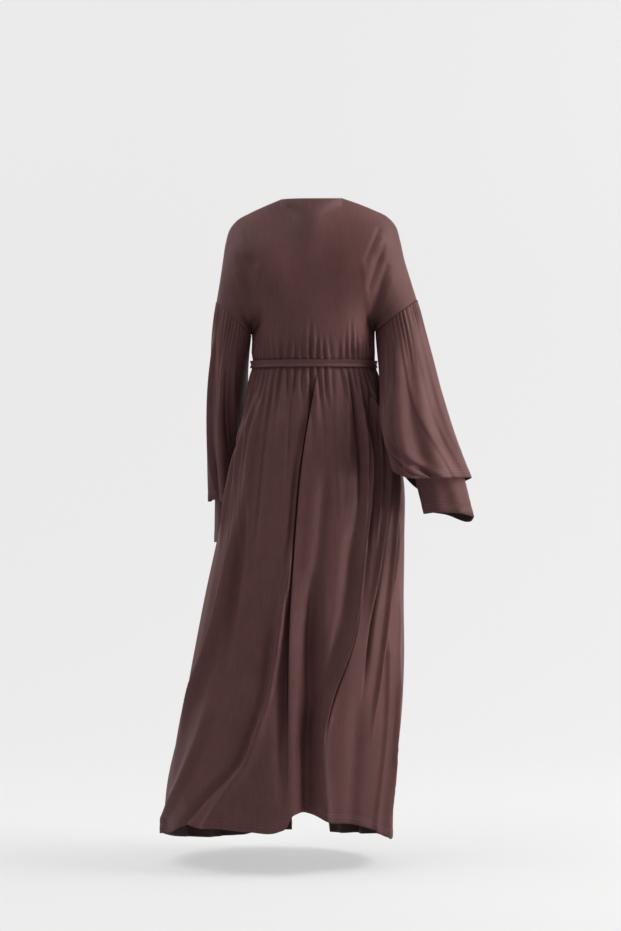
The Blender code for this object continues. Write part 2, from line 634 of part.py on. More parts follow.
def drag_lift(point):
    """Sum of the drag folds at points of the bodice."""
    total = np.zeros(point.shape[:-1])
    for fold in BODICE_DRAGS:
        start = np.array([fold.x1, -fold.drop1])
        leg = np.array([fold.x2, -fold.drop2]) - start
        offset = point[..., (0, 2)] - start
        part = np.clip((offset @ leg) / (leg @ leg), 0.0, 1.0)
        distance = np.linalg.norm(offset - part[..., None] * leg, axis=-1)
        total = total + fold.lift * bump(distance, fold.half)
    return total


def bodice(facing, across, down):
    """Middle surface of the bodice with its gathers and drag folds."""
    across, down = np.broadcast_arrays(np.asarray(across, float), np.asarray(down, float))

    def form(u, v):
        return bodice_plain(facing, u, v)

    inside = np.clip(across, -0.995, 0.995), np.clip(down, 0.005, 0.995)
    point = form(across, down)
    out = surface_out(form, inside[0], inside[1], facing)
    away = point[..., 2] + WAIST_DROP
    edge = ease(1 - np.abs(across), 0.0, 0.10) * ease(down, 0.0, 0.10)
    around = 90.0 * across if facing > 0 else 180.0 - 90.0 * across
    gathers = waist_gather(around, away, 0.02, 0.07) * (0.35 + 0.65 * ease(1 - np.abs(across), 0.0, 0.06))
    flat = unit(out * np.array([1.0, 1.0, 0.0]))
    lift = gathers[..., None] * flat + (drag_lift(point) * edge)[..., None] * out
    return point + lift


# Making solids


def wall_rows(rows, ways):
    """Two vertex rows for each row of middle points: outside then inside."""
    outside = [row + way * WALL / 2 for row, way in zip(rows, ways)]
    inside = [row - way * WALL / 2 for row, way in zip(rows, ways)]
    return outside, inside


def strip_faces(first, second, closed):
    """Faces between two rows of vertex numbers, of equal count or the second with half as many."""
    faces = []
    cells = len(second) if closed else len(second) - 1
    for cell in range(cells):
        after = (cell + 1) % len(second)
        if len(first) == len(second):
            faces.append((first[cell], first[after], second[after], second[cell]))
            continue
        left, centre, right = 2 * cell, 2 * cell + 1, (2 * cell + 2) % len(first)
        faces.append((second[cell], first[left], first[centre]))
        faces.append((second[cell], first[centre], second[after]))
        faces.append((second[after], first[centre], first[right]))
    return faces


def cloth_solid(name, rows, ways, closed, collection, material):
    """One closed wall of cloth from rows of middle points and their outward directions."""
    outside, inside = wall_rows(rows, ways)
    points = np.concatenate(outside + inside)
    numbers = []
    count = 0
    for row in outside + inside:
        numbers.append(list(range(count, count + len(row))))
        count += len(row)
    skin = numbers[: len(rows)]
    lining = numbers[len(rows):]
    faces = []
    for upper, lower in zip(skin, skin[1:]):
        faces += strip_faces(upper, lower, closed) if len(upper) >= len(lower) else strip_faces(lower, upper, closed)
    for upper, lower in zip(lining, lining[1:]):
        faces += strip_faces(upper, lower, closed) if len(upper) >= len(lower) else strip_faces(lower, upper, closed)
    faces += strip_faces(skin[0], lining[0], closed)
    faces += strip_faces(skin[-1], lining[-1], closed)
    if not closed:
        ends = [row[0] for row in skin], [row[0] for row in lining]
        faces += strip_faces(ends[0], ends[1], False)
        ends = [row[-1] for row in skin], [row[-1] for row in lining]
        faces += strip_faces(ends[0], ends[1], False)
    mesh = bpy.data.meshes.new(name)
    mesh.from_pydata([tuple(point) for point in points], [], faces)
    shaped = bmesh.new()
    shaped.from_mesh(mesh)
    bmesh.ops.triangulate(shaped, faces=shaped.faces[:])
    bmesh.ops.recalc_face_normals(shaped, faces=shaped.faces[:])
    shaped.to_mesh(mesh)
    shaped.free()
    mesh.materials.append(material)
    thing = bpy.data.objects.new(name, mesh)
    collection.objects.link(thing)
    return thing


def form_out(form, across, down, turn, reach):
    """Wall direction of a finished form, sampled inside its edges."""
    u = np.clip(across, reach[0], reach[1])
    v = np.clip(down, 0.002, 0.998)
    along_u = form(np.clip(u + 0.05, *reach), v) - form(np.clip(u - 0.05, *reach), v)
    along_v = form(u, np.clip(v + 0.002, 0, 1)) - form(u, np.clip(v - 0.002, 0, 1))
    return unit(np.cross(along_u, along_v)) * turn


def row_places(count, crowd):
    """Places from 0 to 1, closer together at the start when crowd is over one."""
    return np.linspace(0.0, 1.0, count + 1) ** crowd


def skirt_piece(name, columns, places, collection, material):
    """A skirt panel, its columns given as a function of how far down."""
    rows = []
    ways = []
    for down in places:
        gap = math.degrees(SEAM_HALF_GAP / (0.040 + 0.055 * float(ease(down, 0.04, 0.20))))
        around = np.array(columns(down))
        around[0] += gap
        around[-1] -= gap
        rows.append(skirt(around, down))
        way = form_out(skirt, around, np.full(around.shape, down), 1.0, (-400.0, 400.0))
        if down == 0.0:
            way = unit(way * np.array([1.0, 1.0, 0.0]))
        ways.append(way)
    return cloth_solid(name, rows, ways, False, collection, material)


def tube_piece(name, form, side, columns, places, collection, material):
    """A sleeve as a tube, its first ring flat against the armhole seam."""
    rings = SLEEVE_RIGHT if side < 0 else SLEEVE_LEFT
    around = np.linspace(0.0, 360.0, columns, endpoint=False)
    rows = []
    ways = []
    centre, outward, backward = ring_parts(rings, side, np.zeros(1))
    onward = unit(np.cross(outward[0], backward[0]))
    if onward[2] > 0:
        onward = -onward
    for along in places:
        row = form(side, around, along)
        level = np.full(around.shape, along)
        turn = -side

        def shape(u, v):
            return form(side, u, v)

        way = form_out(shape, around, level, turn, (-10.0, 370.0))
        if along == 0.0:
            _, way = ring_point(rings, side, around, level)
            row = row + onward * SEAM_HALF_GAP
        rows.append(row)
        ways.append(way)
    return cloth_solid(name, rows, ways, True, collection, material)


def bodice_ways(facing, across, down):
    """Wall directions of the bodice, set straight at its seams."""

    def form(u, v):
        return bodice(facing, u, v)

    way = surface_out(form, np.clip(across, -0.985, 0.985), np.clip(down, 0.01, 0.99), facing)
    if down[0] == 1.0:
        way = unit(way * np.array([1.0, 1.0, 0.0]))
    if down[0] == 0.0:
        seam = np.abs(across) > NECK_HALF - 1e-6
        flat = unit(way * np.array([1.0, 0.0, 1.0]))
        way = np.where(seam[..., None], flat, way)
    for side in (-1, 1):
        at_edge = np.abs(across - side) < 1e-9
        around = np.clip(down / UNDERARM_PART, 0.0, 1.0) * 180.0
        _, radial = armhole(side, facing, around)
        share = underarm_share(around)[..., None]
        sideways = np.array([float(side), 0.0, 0.0])
        edge = unit(radial * (1 - share) + sideways * share)
        way = np.where(at_edge[..., None], edge, way)
    return way


def pull_back(facing, across, down, row):
    """Moves the edges of a bodice piece back from its seams by half the gap."""
    row = row.copy()
    if down == 0.0:
        seam = np.abs(across) > NECK_HALF - 1e-6
        row[seam, 1] += facing * SEAM_HALF_GAP
    if down == 1.0:
        row[:, 2] += SEAM_HALF_GAP
    for side in (-1, 1):
        at_edge = np.abs(across - side) < 1e-9
        rings = SLEEVE_RIGHT if side < 0 else SLEEVE_LEFT
        centre, outward, backward = ring_parts(rings, side, np.zeros(1))
        onward = unit(np.cross(outward[0], backward[0]))
        onward = onward if onward[2] < 0 else -onward
        if down <= UNDERARM_PART:
            row[at_edge] -= onward * SEAM_HALF_GAP
        if down >= UNDERARM_PART - 1e-9:
            row[at_edge, 1] = facing * SEAM_HALF_GAP
    return row


def bodice_piece(name, facing, columns, places, counts, collection, material):
    """A bodice piece over the given span of columns, coarser where the counts say."""
    rows = []
    ways = []
    for down, step in zip(places, counts):
        across = columns(down)[::step]
        row = bodice(facing, across, np.full(across.shape, down))
        rows.append(pull_back(facing, across, down, row))
        ways.append(bodice_ways(facing, across, np.full(across.shape, down)))
    return cloth_solid(name, rows, ways, False, collection, material)


def belt_row(height, around):
    """Points of the belt at one height, winding out where its ends lap."""
    turned = around - BELT_START_DEG
    lap = BELT_LAP_STEP * ease(turned, BELT_TURN_DEG - 46.0, BELT_TURN_DEG - 24.0)
    middle, half_wide, back, front = skirt_section(np.full(around.shape, WAIST_DROP))
    sine, cosine = np.sin(np.radians(around)), np.cos(np.radians(around))
    deep = np.where(cosine > 0, back, front)
    out = unit(np.stack([sine / half_wide, cosine / deep, 0 * sine], axis=-1))
    base = np.stack([middle + half_wide * sine, deep * cosine, 0 * sine - WAIST_DROP + height], axis=-1)
    flare = BELT_FLARE * abs(height) / (BELT_TALL / 2)
    return base + out * (BELT_OUT + flare + lap)[..., None], out


def belt_piece(collection, material):
    """The belt: a folded band, drawn in a little along its middle where it grips the waist."""
    around = BELT_START_DEG + np.linspace(0.0, BELT_TURN_DEG, BELT_COLUMNS + 1)
    rows = []
    ways = []
    for height in (0.5, 0.0, -0.5):
        row, way = belt_row(height * BELT_TALL, around)
        rows.append(row)
        ways.append(way)
    return cloth_solid("belt", rows, ways, False, collection, material)


def make_material(name, colour):
    """Plain cloth material."""
    material = bpy.data.materials.new(name)
    material.use_nodes = True
    shader = material.node_tree.nodes["Principled BSDF"]
    shader.inputs["Base Color"].default_value = (*colour, 1.0)
    shader.inputs["Roughness"].default_value = 0.8
    return material


def half_columns(count, side):
    """Columns of a front piece, from its edge at centre front to the side."""

    def columns(down):
        places = np.linspace(0.0, 1.0, count + 1)
        places[0] = FRONT_EDGE_GAP / 0.22
        return side * places

    return columns


def main():
    """Builds every piece."""
    for thing in list(bpy.data.objects):
        bpy.data.objects.remove(thing, do_unlink=True)
    collection = bpy.data.collections.new("abaya")
    bpy.context.scene.collection.children.link(collection)
    jersey = make_material("jersey", (0.115, 0.063, 0.058))

    skirt_rows = row_places(SKIRT_ROWS, 1.25)
    skirt_piece("skirt_back", back_columns, skirt_rows, collection, jersey)
    skirt_piece("skirt_front_left", front_columns(1), skirt_rows, collection, jersey)
    skirt_piece("skirt_front_right", front_columns(-1), skirt_rows, collection, jersey)

    down_rows = (0.0, 0.06, 0.14, 0.24, 0.36, 0.48, 0.60, 0.72, 0.80, 0.87, 0.94, 1.0)
    steps = (2, 2, 2, 2, 2, 2, 2, 2, 1, 1, 1, 1)
    bodice_piece("bodice_back", 1, lambda down: np.linspace(-1.0, 1.0, WAIST_GATHERS + 1),
                 down_rows, steps, collection, jersey)
    bodice_piece("bodice_front_left", -1, half_columns(WAIST_GATHERS // 2, 1), down_rows, steps,
                 collection, jersey)
    bodice_piece("bodice_front_right", -1, half_columns(WAIST_GATHERS // 2, -1), down_rows, steps,
                 collection, jersey)

    sleeve_rows = np.array([0.0, 0.05, 0.11, 0.19, 0.29, 0.41, 0.54, 0.67, 0.79, 0.90, 1.0])
    under_rows = np.array([0.0, 0.10, 0.22, 0.34, 0.46, 0.58, 0.72, 0.86, 1.0])
    for side, word in ((-1, "right"), (1, "left")):
        tube_piece("sleeve_" + word, sleeve, side, SLEEVE_COLUMNS, sleeve_rows, collection, jersey)
        tube_piece("under_sleeve_" + word, under_sleeve, side, UNDER_SLEEVE_COLUMNS, under_rows,
                   collection, jersey)
    belt_piece(collection, jersey)


main()
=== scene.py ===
# %% [markdown]
# An open-front abaya in brown viscose jersey, seen from the back as it hangs when worn.
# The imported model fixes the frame: its solids say where each piece of cloth lies. This lesson
# lays a finer skin of jersey on every one of them, then adds stitching, a finish, a floor,
# light and a camera. Sizes are in metres, +Z is up, and the garment's back faces +Y.

# %% Load the frame
import math
from collections import namedtuple

import bpy
import bmesh
import numpy as np
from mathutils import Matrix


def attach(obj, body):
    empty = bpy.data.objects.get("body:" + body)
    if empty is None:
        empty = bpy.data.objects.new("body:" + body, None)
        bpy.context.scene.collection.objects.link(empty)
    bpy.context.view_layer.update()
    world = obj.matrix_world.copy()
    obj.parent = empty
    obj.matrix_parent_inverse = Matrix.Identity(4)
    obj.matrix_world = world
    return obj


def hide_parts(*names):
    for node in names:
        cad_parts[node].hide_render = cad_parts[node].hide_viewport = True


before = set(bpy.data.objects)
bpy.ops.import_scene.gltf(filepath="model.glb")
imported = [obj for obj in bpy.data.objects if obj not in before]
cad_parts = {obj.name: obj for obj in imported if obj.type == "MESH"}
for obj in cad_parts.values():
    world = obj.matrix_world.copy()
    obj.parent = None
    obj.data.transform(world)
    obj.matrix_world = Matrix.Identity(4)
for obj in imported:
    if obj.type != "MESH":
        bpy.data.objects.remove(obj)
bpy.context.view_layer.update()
print("solids:", ", ".join(sorted(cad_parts)))

# %% [markdown]
# Jersey is cut in flat pieces and hangs in folds. Each piece here is a surface worked out from
# a few sections, as a dressmaker's form would give them, plus a table of folds with a path, a
# height and a width. A table that can be read and changed by hand is easier to match to a
# garment than a sculpted mesh, and the same tables give the same cloth each time. Tables are
# in millimetres, as on a dressmaker's tape.

# %% Curves and bumps


def unit(vectors):
    """The same directions, each of length one."""
    lengths = np.linalg.norm(vectors, axis=-1, keepdims=True)
    return vectors / np.maximum(lengths, 1e-12)


def ease(at, start, end):
    """Zero before start, one after end, smooth between."""
    part = np.clip((at - start) / (end - start), 0.0, 1.0)
    return part * part * (3.0 - 2.0 * part)


def through(at, places, values):
    """A smooth curve through the values given at rising places."""
    places = np.asarray(places, float)
    values = np.asarray(values, float)
    slopes = np.gradient(values, places, axis=0)
    index = np.clip(np.searchsorted(places, at) - 1, 0, len(places) - 2)
    span = places[index + 1] - places[index]
    part = np.clip((at - places[index]) / span, 0.0, 1.0)
    if values.ndim == 2:
        span = span[..., None]
        part = part[..., None]
    near = (1 + 2 * part) * (1 - part) ** 2 * values[index]
    far = part * part * (3 - 2 * part) * values[index + 1]
    leave = part * (1 - part) ** 2 * span * slopes[index]
    arrive = part * part * (part - 1) * span * slopes[index + 1]
    return near + far + leave + arrive


def matched(across, down):
    """Two sets of numbers as arrays of the same shape."""
    return np.broadcast_arrays(np.asarray(across, float), np.asarray(down, float))


def bump(distance, half):
    """The cross-section of a soft ridge of height one."""
    return np.exp(-((distance / half) ** 2))


def waves(angle, *parts):
    """Sum of slow sine waves, each given by its height, its count in a turn and its shift."""
    return sum(height * np.sin(count * angle + shift) for height, count, shift in parts)


def table(columns, *rows, plain=""):
    """Rows with named columns, zero where a row stops short.

    Lengths are written in millimetres and kept in metres. The columns in plain aren't lengths.
    """
    names = columns.split()
    kind = namedtuple("Row", names)

    def kept(name, value):
        if name == "name" or name in plain.split():
            return value
        return tuple(part / 1000 for part in value) if isinstance(value, tuple) else value / 1000

    full = [row + (0,) * (len(names) - len(row)) for row in rows]
    return [kind(*[kept(name, value) for name, value in zip(names, row)]) for row in full]


# %% [markdown]
# The waist seam sits under the belt, and the skirt flares from it to a wide hem. The sections
# give the half width and depth at a few heights, measured as drops below the neck. The skirt
# swings a little to the wearer's left, so its middle moves across as it goes down.

# %% Sizes and sections of the skirt
WAIST_DROP = 0.384
WAIST_GATHERS = 52
GATHER_AT_SEAM = 0.0014
GATHER_OPEN = 0.0034
CLOTH_THICK = 0.0012

SKIRT_RINGS = table(
    "drop middle half_wide back front",
    (384, -8, 140, 98, 106),
    (470, -11, 161, 120, 122),
    (560, -13, 183, 138, 132),
    (653, -13, 202, 152, 142),
    (792, -1, 216, 170, 160),
    (931, 15, 230, 186, 178),
    (1070, 29, 244, 200, 196),
    (1210, 45, 254, 212, 212),
    (1349, 68, 262, 222, 228),
    (1500, 76, 267, 230, 242),
)

HEM = table(
    "around drop",
    (-180, 1496), (-150, 1498), (-120, 1490), (-90, 1479), (-68, 1470),
    (-57, 1450), (-44, 1431), (-34, 1423), (-28, 1421), (-24, 1416),
    (-20, 1405), (-16, 1400), (-9, 1399), (-7, 1403), (-4, 1429),
    (-1, 1436), (14, 1438), (33, 1434), (44, 1436), (52, 1432),
    (64, 1452), (90, 1471), (120, 1496), (150, 1508), (180, 1497),
    (210, 1498),
    plain="around",
)


def skirt_section(drop):
    """Middle, half width and the two half depths at a drop."""
    drops = [ring.drop for ring in SKIRT_RINGS]
    sizes = [ring[1:] for ring in SKIRT_RINGS]
    section = through(drop, drops, sizes)
    return section[..., 0], section[..., 1], section[..., 2], section[..., 3]


def section_ring(around, drop):
    """Point on the plain form round the body at a drop, and the direction straight out."""
    middle, half_wide, back, front = skirt_section(drop)
    sine, cosine = np.sin(np.radians(around)), np.cos(np.radians(around))
    deep = np.where(cosine > 0, back, front)
    out = unit(np.stack([sine / half_wide, cosine / deep, 0 * sine], axis=-1))
    return np.stack([middle + half_wide * sine, deep * cosine, 0 * sine - drop], axis=-1), out


def hem_drop(around):
    """Drop of the hem at an angle from the back, in degrees."""
    return through(around, [point.around for point in HEM], [point.drop for point in HEM])


print("skirt: %d sections, hem at %d places" % (len(SKIRT_RINGS), len(HEM)))

# %% [markdown]
# Folds are what make jersey look like jersey. A fold's path is its x position at six drops,
# its lift is above zero for a ridge and below for a trough, and half is half its width. The
# long ones run from the gathers to the hem and drift to the wearer's left, because the skirt
# swings that way; the short ones are the ends of single gathers. A few paths bow out low down.

# %% Folds of the skirt
FOLD_DROPS = (0.40, 0.60, 0.80, 1.00, 1.20, 1.43)
BOW_DROP = 1.29
BOW_HALF = 0.05
FOLD_FADE = 0.16
FOLD_GROWTH = 0.09
GROWTH_BY_LIFT = 4.3
CREASE_GROWTH = 0.08
FOLD_COLUMNS = "name path start end lift half bow"
BACK_FOLDS = table(
    FOLD_COLUMNS,
    ("side ridge a", (124, 172, 208, 226, 240, 250), 420, 840, 12, 10),
    ("side ridge b", (104, 160, 184, 200, 220, 230), 420, 840, 12, 9),
    ("side ridge c", (100, 136, 158, 170, 180, 190), 420, 820, 9, 9),
    ("left plane edge", (120, 150, 172, 217, 285, 330), 680, 1260, 20, 15),
    ("left plane trough", (110, 140, 158, 184, 200, 220), 660, 1100, -13, 13),
    ("broad left ridge", (90, 120, 160, 205, 244, 335), 1080, 1600, 9, 22),
    ("long left trough", (40, 48, 62, 86.5, 124, 290), 920, 1600, -12, 14, -15),
    ("soft trough a", (-40, -36, -18, 0, 10, 14), 580, 1160, -7, 14),
    ("soft trough b", (-80, -86, -89, -62, -30, -20), 720, 1160, -7, 14),
    ("deep trough", (-20, -10, -4, -2, 0, 0), 800, 1600, -42, 25),
    ("short ridge a", (-88, -89, -90, -90, -90, -90), 410, 660, 7, 9),
    ("short ridge b", (-108, -126, -130, -130, -130, -130), 410, 680, 8, 8),
    ("short ridge c", (-132, -150, -150, -150, -150, -150), 410, 660, 7, 8),
    ("hem ridge right", (-150, -190, -210, -200, -194, -172), 1020, 1600, 12, 13),
    ("hem trough right", (-100, -100, -110, -110, -105, -95), 1100, 1600, -10, 20),
)
FRONT_FOLDS = table(
    FOLD_COLUMNS,
    ("front ridge a", (110, 150, 176, 205, 240, 280), 740, 1600, 12, 14),
    ("front trough b", (90, 122, 146, 172, 205, 245), 460, 1600, -12, 14),
    ("front ridge c", (66, 90, 110, 136, 166, 204), 500, 1600, 14, 13),
    ("front trough d", (40, 54, 76, 102, 130, 162), 620, 1600, -16, 15),
    ("front ridge e", (20, 30, 48, 68, 90, 116), 460, 1600, 12, 13),
    ("front trough f", (-46, -56, -62, -66, -70, -82), 460, 1600, -13, 14),
    ("front ridge g", (-70, -84, -90, -94, -98, -104), 520, 1600, 14, 13),
    ("front trough h", (-92, -114, -122, -124, -126, -128), 640, 1600, -13, 14),
    ("front ridge i", (-112, -144, -156, -156, -154, -150), 430, 1600, 11, 13),
    ("front trough j", (-130, -170, -186, -184, -178, -172), 600, 1600, -9, 12),
)
# A crease is sharper on one side: left and right are its widths towards the wearer's left (+X)
# and right, so a small one makes a crisp edge and a large one a soft slope. Creases that lie
# side by side share a path, and aside is their distance from it.
MAIN_PATH = (-15.5, 19.2, 37.5, 49.7, 51.4, 50)
RIDGE_PATH = (12, 25, 43, 68, 112, 236)
CURVED_PATH = (-93, -136.5, -120.5, -94.5, -32, -35)
FAN_PATH = (-115, -176, -160, -128, -105, -100)
SIDE_PATH = (-145, -195, -189.3, -168.8, -142, -135)
BACK_CREASES = table(
    "name path start end lift left right aside bow",
    ("main slit", MAIN_PATH, 390, 1300, -10, 1.6, 1.4),
    ("main shade", MAIN_PATH, 390, 1300, -10, 15, 1.4),
    ("main edge", MAIN_PATH, 440, 1300, 2.2, 1.2, 10, -3),
    ("thin ridge", MAIN_PATH, 560, 980, 7, 2, 1.4, 4.2),
    ("thin trough", MAIN_PATH, 580, 1000, -5, 6, 4, 12),
    ("main opening", MAIN_PATH, 880, 1360, -10, 11, 1.6, 2),
    ("wide opening", MAIN_PATH, 1020, 1420, -9, 13, 11, 15),
    ("long left ridge", RIDGE_PATH, 760, 1320, 13, 10, 6, 0, -8),
    ("low left ridge", RIDGE_PATH, 1140, 1600, 11, 12, 16, 0, -8),
    ("long right ridge", CURVED_PATH, 500, 1300, 11, 16, 4),
    ("low right ridge", CURVED_PATH, 1120, 1600, 11, 14, 12),
    ("curved slit", CURVED_PATH, 740, 1260, -16, 1.6, 3.2, -4.4),
    ("curved lip", CURVED_PATH, 420, 1220, 3.5, 3, 1.2),
    ("curved shade", CURVED_PATH, 440, 1000, -8, 5, 9, -13),
    ("curved hollow", CURVED_PATH, 440, 1300, -7, 13, 11, 24),
    ("fan ridge", FAN_PATH, 410, 1020, 12, 8, 1.7),
    ("fan shade", FAN_PATH, 580, 1160, -14, 3.5, 6.8, -8.5),
    ("side ridge", SIDE_PATH, 560, 1260, 11, 6.5, 1.7),
    ("side shade", SIDE_PATH, 600, 1020, -10, 3, 4.6, -7),
    ("side lip", (-150, -200, -201, -174.5, -160, -160), 720, 1060, 6.5, 4.2, 1.7),
    ("low ridge", (-160, -180, -180, -178, -172, -145), 980, 1600, 8.5, 7, 3.6),
    ("edge lip", (-190, -200, -203, -203, -192, -176), 900, 1600, 4.5, 5, 1.8),
    ("soft valley", (-70, -70, -62, -40, 4, 60), 860, 1360, -5, 18, 18),
    ("left lip", (128, 160, 176, 222, 292, 335), 460, 1340, 6, 5, 30),
    ("left crease", (138, 170, 186, 232, 302, 345), 440, 1140, -8, 6, 3),
    ("side fold a", (108, 150, 159, 158, 158, 158), 410, 900, 5, 3, 6),
    ("side fold b", (100, 135, 142, 144, 144, 144), 430, 920, 4.5, 3, 7),
    ("side fold c", (132, 168, 196, 214, 230, 240), 440, 820, -5, 5, 5),
    ("fan a", (-104, -126, -118, -110, -110, -110), 390, 780, 7.8, 5, 2.6),
    ("fan b", (-115, -200, -220, -220, -220, -220), 390, 580, 4.5, 5, 4),
    ("fan c", (-88, -112, -106, -100, -100, -100), 390, 760, -9, 3.2, 4),
    ("fan d", (-82, -87, -82, -80, -80, -80), 390, 740, 3, 5, 4),
    ("fan e", (-128, -145, -136, -120, -110, -110), 390, 840, -9.5, 3.2, 4),
    ("fan g", (-134, -162, -150, -140, -140, -140), 400, 840, 7, 4, 2.6),
    ("low left fold", (190, 200, 210, 225, 240, 333), 1140, 1600, 5, 10, 16),
    ("waist fold a", (60, 76, 96, 118, 150, 190), 390, 660, 3, 6, 4),
    ("waist fold b", (42, 52, 66, 80, 100, 120), 390, 720, -4, 4, 6),
    ("waist fold c", (-52, -62, -70, -70, -60, -60), 390, 780, 3, 5, 8),
    ("waist fold d", (-24, -30, -34, -34, -30, -30), 390, 620, -3.5, 4, 6),
    ("waist fold e", (84, 108, 126, 150, 180, 200), 390, 860, -4, 4, 8),
)


def fold_centre(fold, drop, facing):
    """Angle of a fold's path, in radians, and the metres of cloth for each radian there."""
    middle, half_wide, back, front = skirt_section(drop)
    deep = np.where(facing > 0, back, front)
    path = through(drop, FOLD_DROPS, fold.path) + fold.bow * bump(drop - BOW_DROP, BOW_HALF)
    centre = np.arcsin(np.clip((path - middle) / half_wide, -0.999, 0.999))
    return centre, np.sqrt((half_wide * np.cos(centre)) ** 2 + (deep * np.sin(centre)) ** 2)


def fold_away(fold, around, drop, facing):
    """Distance over the cloth from a fold's path, positive towards the wearer's left."""
    centre, speed = fold_centre(fold, drop, facing)
    angle = np.radians(around)
    if facing > 0:
        return (angle - centre) * speed
    offset = angle - np.where(angle >= 0, math.pi - centre, -math.pi - centre)
    return ((offset + math.pi) % (2 * math.pi) - math.pi) * speed


def between(drop, start, end, growth):
    """One along a fold, falling to nothing at its two ends."""
    return ease(drop, start, start + growth) * (1 - ease(drop, end - FOLD_FADE, end))


def fold_lift(around, drop, folds, facing):
    """Sum of the folds on the back (facing 1) or the front (facing -1) of the skirt."""
    total = np.zeros(np.shape(around))
    for fold in folds:
        away = fold_away(fold, around, drop, facing)
        growth = FOLD_GROWTH + GROWTH_BY_LIFT * abs(fold.lift)  # deep folds take longer to form
        shown = between(drop, fold.start, fold.end, growth)
        total = total + fold.lift * shown * bump(away, fold.half)
    return total


def crease_lift(around, drop):
    """Sum of the crisp creases of the back."""
    total = np.zeros(np.shape(around))
    for crease in BACK_CREASES:
        away = fold_away(crease, around, drop, 1) - crease.aside
        wide = np.where(away > 0, crease.left, crease.right)
        shown = between(drop, crease.start, crease.end, CREASE_GROWTH)
        total = total + crease.lift * shown * bump(away, wide)
    return total


print("skirt: %d folds and %d creases" % (len(BACK_FOLDS + FRONT_FOLDS), len(BACK_CREASES)))

# %% [markdown]
# Gathers are the small ridges where a long edge is drawn up on a shorter seam. They are tight
# at the seam, open just past it and die out at uneven lengths. A cosine round the waist makes
# the ridges; slow waves on top of it make their height and length uneven, as a machine's are.

# %% Gathers and hem of the skirt
HEM_STITCH_UP = 0.020
STITCH_LINES_APART = 0.006
HEM_LIFT = 0.0007
HEM_DIP_HALF = 0.0022
HEM_STEP = (-0.002, 0.003)
RIPPLE = 0.0009
RIPPLE_GROWTH = (0.40, 0.55)
GATHER_DRIFT = (0.01, 0.05)
GATHER_OPENING = (0.008, 0.03)
SKIRT_GATHER_FADE = (0.04, 0.13)
BODICE_GATHER_FADE = (0.015, 0.06)
SIDE_BLEND = 0.15


def uneven(around):
    """Varies the depth of the gathers round the garment."""
    return 1.0 + waves(np.radians(around), (0.24, 5, 0.6), (0.22, 11, 2.1), (0.26, 23, 0.3))


def waist_gather(around, away, fade_start, fade_end):
    """Ridges and valleys of the gathering, by the distance from the waist seam."""
    angle = np.radians(around)
    longer = 1.0 + waves(angle, (0.34, 9, 1.3), (0.24, 17, 0.4))
    drift = waves(angle, (0.5, 7, 0), (0.9 * ease(away, *GATHER_DRIFT), 13, 1.9))
    wave = np.cos(angle * WAIST_GATHERS + drift)
    size = GATHER_AT_SEAM + (GATHER_OPEN - GATHER_AT_SEAM) * ease(away, *GATHER_OPENING)
    return wave * size * uneven(around) * (1 - ease(away, fade_start, fade_end * longer + 0.02))


def hem_line(to_edge):
    """A turned hem: the cloth dips where it is stitched and stands out a little below."""
    below = to_edge - HEM_STITCH_UP
    dip = bump(below, HEM_DIP_HALF) + bump(below + STITCH_LINES_APART, HEM_DIP_HALF)
    return HEM_LIFT * (1 - ease(below, *HEM_STEP) - dip)


def slow_ripple(around, drop):
    """Very shallow unevenness, so that no plane of cloth is perfectly smooth."""
    parts = (1, 6, 5 * drop), (0.7, 13, 1.0 - 9 * drop), (0.5, 23, 2.0 + 16 * drop)
    return RIPPLE * waves(np.radians(around), *parts)


def skirt(around, down):
    """Surface of the skirt: around is in degrees from the back, down from 0 to 1."""
    around, down = matched(around, down)
    bottom = hem_drop(around)
    drop = WAIST_DROP + down * (bottom - WAIST_DROP)
    point, out = section_ring(around, drop)
    cosine = np.cos(np.radians(around))
    behind = ease(cosine, -SIDE_BLEND, SIDE_BLEND)
    ahead = ease(-cosine, -SIDE_BLEND, SIDE_BLEND)
    lift = waist_gather(around, drop - WAIST_DROP, *SKIRT_GATHER_FADE)
    lift = lift + (fold_lift(around, drop, BACK_FOLDS, 1) + crease_lift(around, drop)) * behind
    lift = lift + fold_lift(around, drop, FRONT_FOLDS, -1) * ahead
    lift = lift + slow_ripple(around, drop) * ease(drop, *RIPPLE_GROWTH) + hem_line(bottom - drop)
    return point + out * lift[..., None]


# %% [markdown]
# The fronts meet edge to edge at the waist and part towards the hem, because the skirt swings.
# Each edge is given as an angle that opens as it goes down.

# %% The open front
OPENING_SWING_DEG = 17.0
OPENING_HALF_DEG = 9.5
FRONT_EDGE_GAP = 0.002
WAIST_RADIUS = 0.14


def opening_edge(side, down):
    """Angle of a front edge of the skirt, side 1 for the wearer's left."""
    gap = math.degrees(FRONT_EDGE_GAP / WAIST_RADIUS)
    half = gap + OPENING_HALF_DEG * down**1.6
    return side * (180.0 - half) + OPENING_SWING_DEG * down**1.4


print("opening at the hem: %.0f degrees" % (360.0 + opening_edge(-1, 1.0) - opening_edge(1, 1.0)))

# %% [markdown]
# The sleeves hang as tubes from the dropped armhole seam. A ring is an ellipse between the
# outermost and the innermost point of the sleeve at that place, so each one can be read off a
# side of the garment. Soft folds turn a little round the sleeve on the way down, and crisp
# creases run out from the bend of the arm. Angles in the tables are in degrees.

